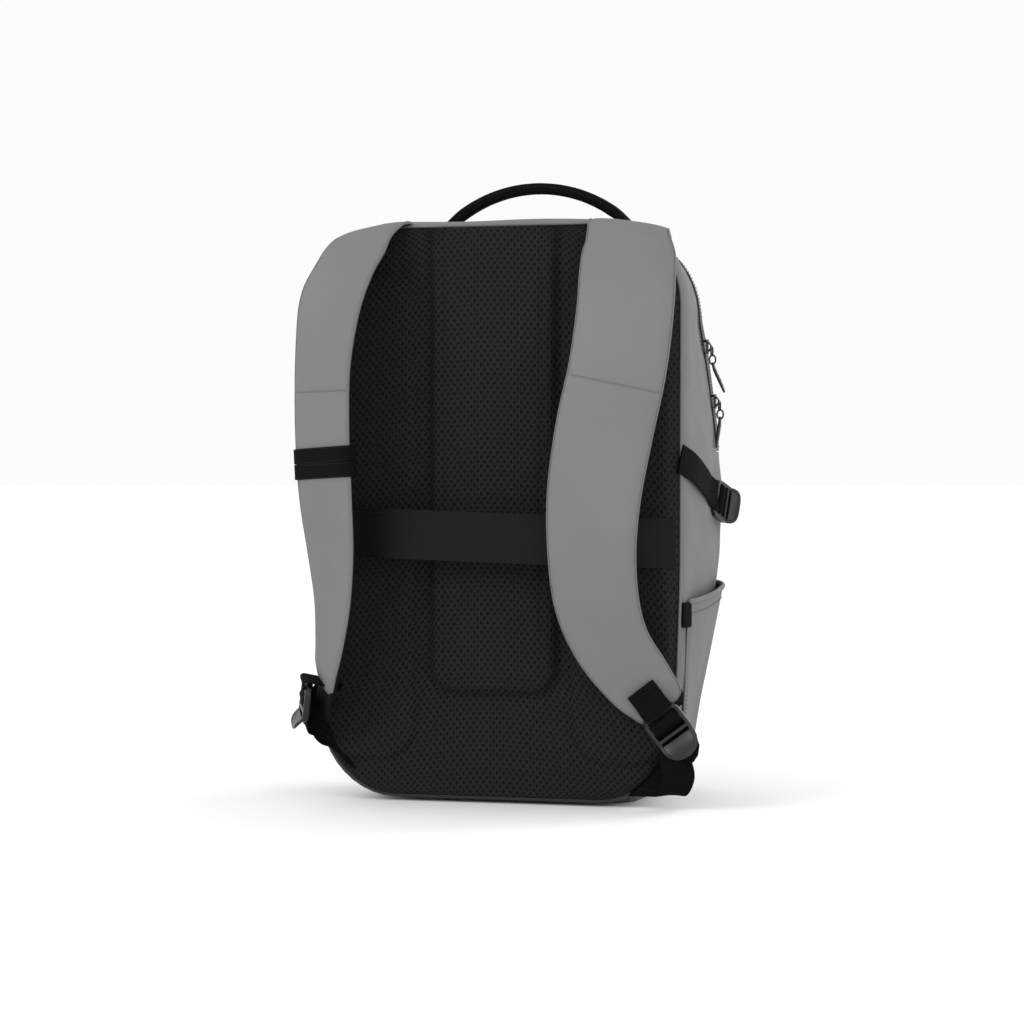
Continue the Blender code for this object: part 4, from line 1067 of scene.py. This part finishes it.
# The side pockets. A panel of the shell cloth is sewn flat at its back, front and base, and stands
# open at a hemmed mouth that rises towards the front. A short webbing tab is caught in its back seam.
def side_x(depth, height):
    """How far out the bag's side is at a depth and a height below its top corners."""
    half, _, bottom, _, low = (np.interp(depth, BODY_RINGS[:, 0], BODY_RINGS[:, i]) for i in range(1, 6))
    below = np.clip(bottom + low - height, 0, low)
    return tapered(half - low + np.sqrt(low**2 - below**2), height, depth)


for side, sign in (("right", 1), ("left", -1)):
    across = np.linspace(0, 1, 41)[None, :]
    up = np.linspace(0, 1, 41)[:, None]
    depth = -70.0 + 120.0 * across + 0 * up
    rim_z = 176.0 - 11.0 * (1 - across)
    height_z = 30.0 + (rim_z - 30.0) * up
    belly = np.sin(np.pi * across) ** 0.6 * up**1.3
    ripple = 0.5 * np.sin(depth / 9 + height_z / 23) * np.sin(np.pi * across) * np.sin(np.pi * up) ** 0.5
    x = side_x(depth, height_z) + 2.2 + 9.2 * belly + ripple
    panel = np.stack([sign * x, depth, height_z], -1)
    pocket = Shape().grid(panel, about=(0, 0, 100))
    cloths, pocket_node = (shell_cloth, lining_cloth), [f"side_pocket_{side}"]
    pocket = pocket.piece(f"{side}_pocket_cloth", cloths, "bag", "shell_fabric", pocket_node)
    add_wall(pocket, 1.3, 1)
    mouth = panel[-1] + np.array([-sign * 0.3, 0, -1.0])
    hem_roll = add_rod(Shape(), mouth, (0, 0, 1), rounded(2.3, 1.5, 2.4))
    for edge in (panel[:, 0], panel[:, -1]):
        add_rod(hem_roll, edge + np.array([-sign * 0.6, 0, 0]), (0, 1, 0), rounded(1.4, 1.0))
    hem_roll.piece(f"{side}_pocket_hem", shell_cloth, "bag", "shell_fabric")
    pocket_stitches = Shape()
    add_stitches(pocket_stitches, panel[-4] + np.array([sign * 0.35, 0, 0]), (sign, 0, 0))
    add_stitches(pocket_stitches, panel[:, 0] + np.array([sign * 0.35, 3.2, 0]), (sign, 0, 0))
    pocket_stitches.piece(f"{side}_pocket_stitches", grey_thread, "bag", "shell_fabric")
    tab_x = side_x(-73.0, 155.0)
    tab_run = ((0.2, -82.0), (1.4, -79.0), (2.6, -74.0), (3.4, -68.0))
    tab_line = [(sign * (tab_x + lift), depth, 154.0) for lift, depth in tab_run]
    tab = add_rod(Shape(), smooth_path(tab_line, 5), (0, 0, 1), tape_profile(20.0, 1.8))
    tab.piece(f"{side}_pocket_tab", webbing, "bag", "webbing", [f"pocket_tab_{side}"])


# The compression straps. Webbing is sewn into the back seam, crosses the side at a slant and ends
# in a ladder lock, which stands off the bag with its loose end tucked through.
COMPRESSION_DROP, BUCKLE_LEAN = 20.0, 14.0
for side, sign in (("right", 1), ("left", -1)):
    place = (sign * 161.0, 1.0, 247.0)
    lean = math.radians(BUCKLE_LEAN)
    lock = Seat(place, (sign * -math.sin(lean), -math.cos(lean), 0.34), (0, 0, sign))
    buckle, buckle_node = f"{side}_compression_buckle", [f"compression_buckle_{side}"]
    moulding = lock_shape(lock, 24.0, 7.0)
    moulding.piece(f"{side}_compression_lock", moulded, buckle, "moulded_plastic", buckle_node)
    depth = np.array([-85.5, -78.0, -62.0, -42.0, -24.0, -12.0])
    drop = 248.5 - np.tan(math.radians(COMPRESSION_DROP)) * depth * 0.95
    lift = 2.9 + 1.6 * np.sin((depth + 77) / 24) - 1.9 * np.exp(-(((depth + 86) / 7) ** 2))
    flat_run = np.stack([sign * (side_x(depth, 260.0) + lift), depth, drop], 1)
    round_bar = ((2.6, 0, 6.0), (2.6, 0, 1.0), (0.2, 0, -2.4), (-2.4, 0, 1.0), (-2.4, 0, 8.0))
    around = [lock.at(p) for p in round_bar]
    strap = ribbon(Shape(), lock, [*flat_run, *around], hint=(0, 0, 1), width=24.0)
    strap.piece(f"{side}_compression_webbing", webbing, "bag", "webbing", [f"compression_webbing_{side}"])
    through = [(-2.6, 0, -26.0), (-3.2, 0, -16.0), (0.4, 0, -14.0), (3.4, 0, -10.4), (1.4, 0, -6.0)]
    through += [(-2.6, 0, -8.0), (-4.6, 0, -18.0), (-3.6, 0, -30.0), (-3.0, 2, -40.0)]
    loose = ribbon(Shape(), lock, [lock.at(p) for p in through], width=23.0)
    loose.piece(f"{side}_compression_tail", webbing, buckle, "webbing")


# The front pocket. A bellied slip pocket is sewn to the lower front, with webbing bound over its mouth.
across = np.linspace(0, 1, 61)[None, :]
up = np.linspace(0, 1, 49)[:, None]
belly = np.sin(np.pi * across) ** 0.4 * np.minimum(1, 3.2 * up) ** 0.8
x = (2 * across - 1) * 104.0 + 0 * up
z = 46.0 + 200.0 * up + 0 * across
y = FRONT_Y + 1.6 + 18.2 * belly * (1 - 0.15 * up**4)
y = np.maximum(y, FRONT_Y + 3.2) + 0.6 * np.sin(x / 17 + z / 29) * np.sin(np.pi * across) * np.sin(np.pi * up)
panel = np.stack([x, y, z], -1)
pocket = Shape().grid(panel, about=(0, 0, 146))
cloths = (shell_cloth, lining_cloth)
pocket = pocket.piece("front_pocket_cloth", cloths, "bag", "shell_fabric", ["front_pocket"])
add_wall(pocket, 1.5, 1)
mouth = panel[-1, 2:-2] + np.array([0, 1.5, -5.5])
hem = add_rod(Shape(), mouth, (0, 0, 1), tape_profile(11.0, 1.1))
hem.piece("front_pocket_binding", webbing, "bag", "webbing", ["front_pocket_hem"])
roll = Shape()
side_run = np.concatenate([panel[:0:-1, 0], panel[0], panel[1:, -1]])
add_rod(roll, side_run + np.array([0, -0.8, 0]), (0, 1, 0), rounded(1.3, 1.3, sides=8))
roll.piece("front_pocket_seam", shell_cloth, "bag", "shell_fabric")
pocket_stitches = Shape()
for drop in (-1.6, -9.4):
    add_stitches(pocket_stitches, panel[-1, 3:-3] + np.array([0, 2.15, drop]), (0, 1, 0))
pocket_stitches.piece("front_pocket_stitches", thread, "bag", "webbing")


# The solar panel. Six dark cells lie in a laminate under clear film, inside a webbing border that is
# stitched to the flap's slope. Silver lines collect the current.
SLOPE_UP = np.array([0.0, -40.0, 138.0]) / math.hypot(40.0, 138.0)
SLOPE_OUT = np.array([0.0, SLOPE_UP[2], -SLOPE_UP[1]])
slope_mid = np.array([0.0, 70.0, 361.0])
cell_blue = Finish("solar_cell", (0.006, 0.009, 0.022), 0.2, Coat_Weight=1.0, Coat_Roughness=0.06)
x, y, z = cell_blue.axes(cell_blue.place())
rise_along = z * (SLOPE_UP[2] * 1000) + y * (SLOPE_UP[1] * 1000)
fingers = (rise_along * (2 * math.pi / 1.9)).cos().above(0.9, 0.98)
bars = (x * (2 * math.pi / 0.01017)).cos().above(0.985, 0.995)
silver = fingers * 0.3 + bars
cell_blue.paint(silver, (0.42, 0.43, 0.45))
cell_blue.relief(cell_blue.noise(120.0, 2.0), 0.02)
film = Finish("laminate_film", (0.012, 0.013, 0.016), 0.3, Coat_Weight=0.8, Coat_Roughness=0.1)
film.relief(film.noise(700.0, 1.0), 0.03)
for index in range(1, 7):
    coat(f"solar_cell_{index}", cell_blue)
coat("solar_laminate", film)
border_cloth = Finish("border_cloth", (0.008, 0.008, 0.0078), 0.65, Specular_IOR_Level=0.25)
x, y, z = border_cloth.axes(border_cloth.place())
border_cloth.relief((x * 4200).sin() * (z * 4200).sin() * 0.5 + 0.5, 0.12)
coat("solar_border", border_cloth)
border_stitches = Shape()
for half_x, half_up in ((100.6, 65.6), (97.0, 62.0)):
    corners = [(half_x, half_up), (-half_x, half_up), (-half_x, -half_up), (half_x, -half_up)]
    corners.append(corners[0])
    for (a, b), (c2, d2) in zip(corners, corners[1:]):
        ends = np.array([[a, b], [c2, d2]])
        row = slope_mid + ends[:, :1] * X + ends[:, 1:] * SLOPE_UP + SLOPE_OUT * 3.0
        add_stitches(border_stitches, row, SLOPE_OUT)
border_stitches.piece("solar_border_stitches", thread, "flap", "webbing")
coat("junction_box", moulded)


# The inside. A padded divider keeps a laptop against the back, and an elastic mesh pocket on it
# holds the power bank, whose case has a push button and a socket.
low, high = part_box("laptop_divider")
low, high = np.array(low) / MM, np.array(high) / MM
share_x = np.linspace(-1, 1, 61)[None, :]
share_z = np.linspace(0, 1, 49)[:, None]
x = share_x * (high[0] - 1.0) + 0 * share_z
z = low[2] + (high[2] - low[2]) * share_z + 0 * share_x
plump = 2.6 * np.clip(1 - share_x**8, 0, 1) ** 0.5 * np.clip(1 - (2 * share_z - 1) ** 10, 0, 1) ** 0.5
quilt = 1 - 0.28 * np.exp(-((np.abs(share_x) - 0.42) ** 2) / 0.0006)
mid_y = (low[1] + high[1]) / 2
front = np.stack([x, mid_y + plump * quilt, z], -1)
rear = np.stack([x, mid_y - plump * quilt, z], -1)
divider = Shape().grid(np.concatenate([front, rear[:, ::-1]], 1), wrap=True, caps=True)
divider = divider.piece("laptop_divider_pad", lining_cloth, "bag", "lining_cloth", ["laptop_divider"])

low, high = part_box("power_pocket")
low, high = np.array(low) / MM, np.array(high) / MM
turn = np.linspace(0, 2 * np.pi, 64, endpoint=False)
c, s = np.cos(turn), np.sin(turn)
half_x, half_y = (high[0] - low[0]) / 2 - 0.8, (high[1] - low[1]) / 2 - 0.8
mid = (low + high) / 2
rise_share = np.linspace(0, 1, 23)[:, None]
pinch = 1 - 0.02 * np.sin(np.pi * rise_share)
ring_x = mid[0] + half_x * pinch * np.sign(c) * np.abs(c) ** 0.2
ring_y = mid[1] + half_y * pinch * np.sign(s) * np.abs(s) ** 0.35
tube = np.stack(np.broadcast_arrays(ring_x, ring_y, low[2] + (high[2] - low[2]) * rise_share), -1)
holder = Shape().grid(tube, wrap=True)
floor_rows = np.linspace(0, 1, 8)[:, None, None]
centre_floor = np.array([mid[0], mid[1], low[2]])
bottom_rows = tube[0][None] * (1 - floor_rows * 0.98) + centre_floor * floor_rows * 0.98
holder.grid(bottom_rows, wrap=True, about=(mid[0], mid[1], low[2] + 400))
holder = holder.piece("power_pocket_mesh", lining_cloth, "bag", "lining_cloth", ["power_pocket"])
add_wall(holder, 1.2)
elastic = add_loop(Shape(), tube[-1], (0, 0, 1), tape_profile(7.0, 2.0))
elastic.piece("power_pocket_elastic", webbing, "bag", "webbing")

case = Finish("power_bank_case", (0.028, 0.028, 0.03), 0.38)
case.relief(case.noise(1100.0, 1.0), 0.06)
coat("power_bank", case)
coat("power_button", moulded)


# The stage: a wide pale floor, soft studio lights and the camera. Far from the bag the paper takes
# the room's own white, so that no edge shows behind it.
stage_paper = Finish("stage_paper", (0.9, 0.9, 0.9), 0.9, Emission_Strength=1.0)
x, y, _ = stage_paper.axes(stage_paper.place())
far = (x * x + y * y).above(1.0, 16.0)
stage_paper.paint(far, (0.0, 0.0, 0.0))
ROOM_WHITE = 0.97
dark, white = (0.0, 0.0, 0.0, 1.0), (ROOM_WHITE, ROOM_WHITE, ROOM_WHITE, 1.0)
glow = stage_paper.add("Mix", {"data_type": "RGBA"}, {0: far, 6: dark, 7: white}, 2)
stage_paper.tree.links.new(glow.socket, stage_paper.shader.inputs["Emission Color"])
paper_run = np.linspace(-60e3, 60e3, 9)
paper = np.stack(np.broadcast_arrays(paper_run[None], paper_run[:, None], 0.0), -1)
backdrop = Shape().grid(paper, about=(0, 0, -9000))
mesh = bpy.data.meshes.new("backdrop")
mesh.from_pydata(np.concatenate(backdrop.points) * MM, [], backdrop.faces)
mesh.materials.append(stage_paper.material)
mesh.shade_smooth()
floor = bpy.data.objects.new("backdrop", mesh)
bpy.context.scene.collection.objects.link(floor)

world = bpy.data.worlds.new("soft_room")
world.use_nodes = True
world.node_tree.nodes["Background"].inputs["Color"].default_value = (1.0, 1.0, 1.0, 1.0)
world.node_tree.nodes["Background"].inputs["Strength"].default_value = ROOM_WHITE
bpy.context.scene.world = world


def light(name, place, aim, size, power):
    """A square soft box that faces a point."""
    lamp = bpy.data.lights.new(name, "AREA")
    lamp.size, lamp.energy = size, power
    made = bpy.data.objects.new(name, lamp)
    made.location = place
    direction = Vector(aim) - Vector(place)
    made.rotation_euler = direction.to_track_quat("-Z", "Y").to_euler()
    bpy.context.scene.collection.objects.link(made)


light("key", (-1.5, -2.2, 1.7), (0, 0, 0.25), 1.6, 34)
light("fill", (1.9, -2.0, 0.9), (0, 0, 0.25), 1.8, 16)
light("rim", (1.4, 1.9, 1.6), (0, 0, 0.3), 1.4, 22)

AZIMUTH, ELEVATION, DISTANCE = math.radians(17.0), math.radians(1.0), 2.6
target = Vector((0.0, -0.08, 0.235))
back = Vector(
    (math.sin(AZIMUTH) * math.cos(ELEVATION), -math.cos(AZIMUTH) * math.cos(ELEVATION), math.sin(ELEVATION))
)
lens = bpy.data.cameras.new("camera")
lens.sensor_width, lens.lens = 36.0, 113.3
lens.shift_x = 0.0146
lens.clip_start, lens.clip_end = 0.1, 30.0
camera = bpy.data.objects.new("camera", lens)
camera.location = target + back * DISTANCE
camera.rotation_euler = (-back).to_track_quat("-Z", "Y").to_euler()
bpy.context.scene.collection.objects.link(camera)
bpy.context.scene.camera = camera
bpy.context.scene.view_settings.view_transform = "Standard"
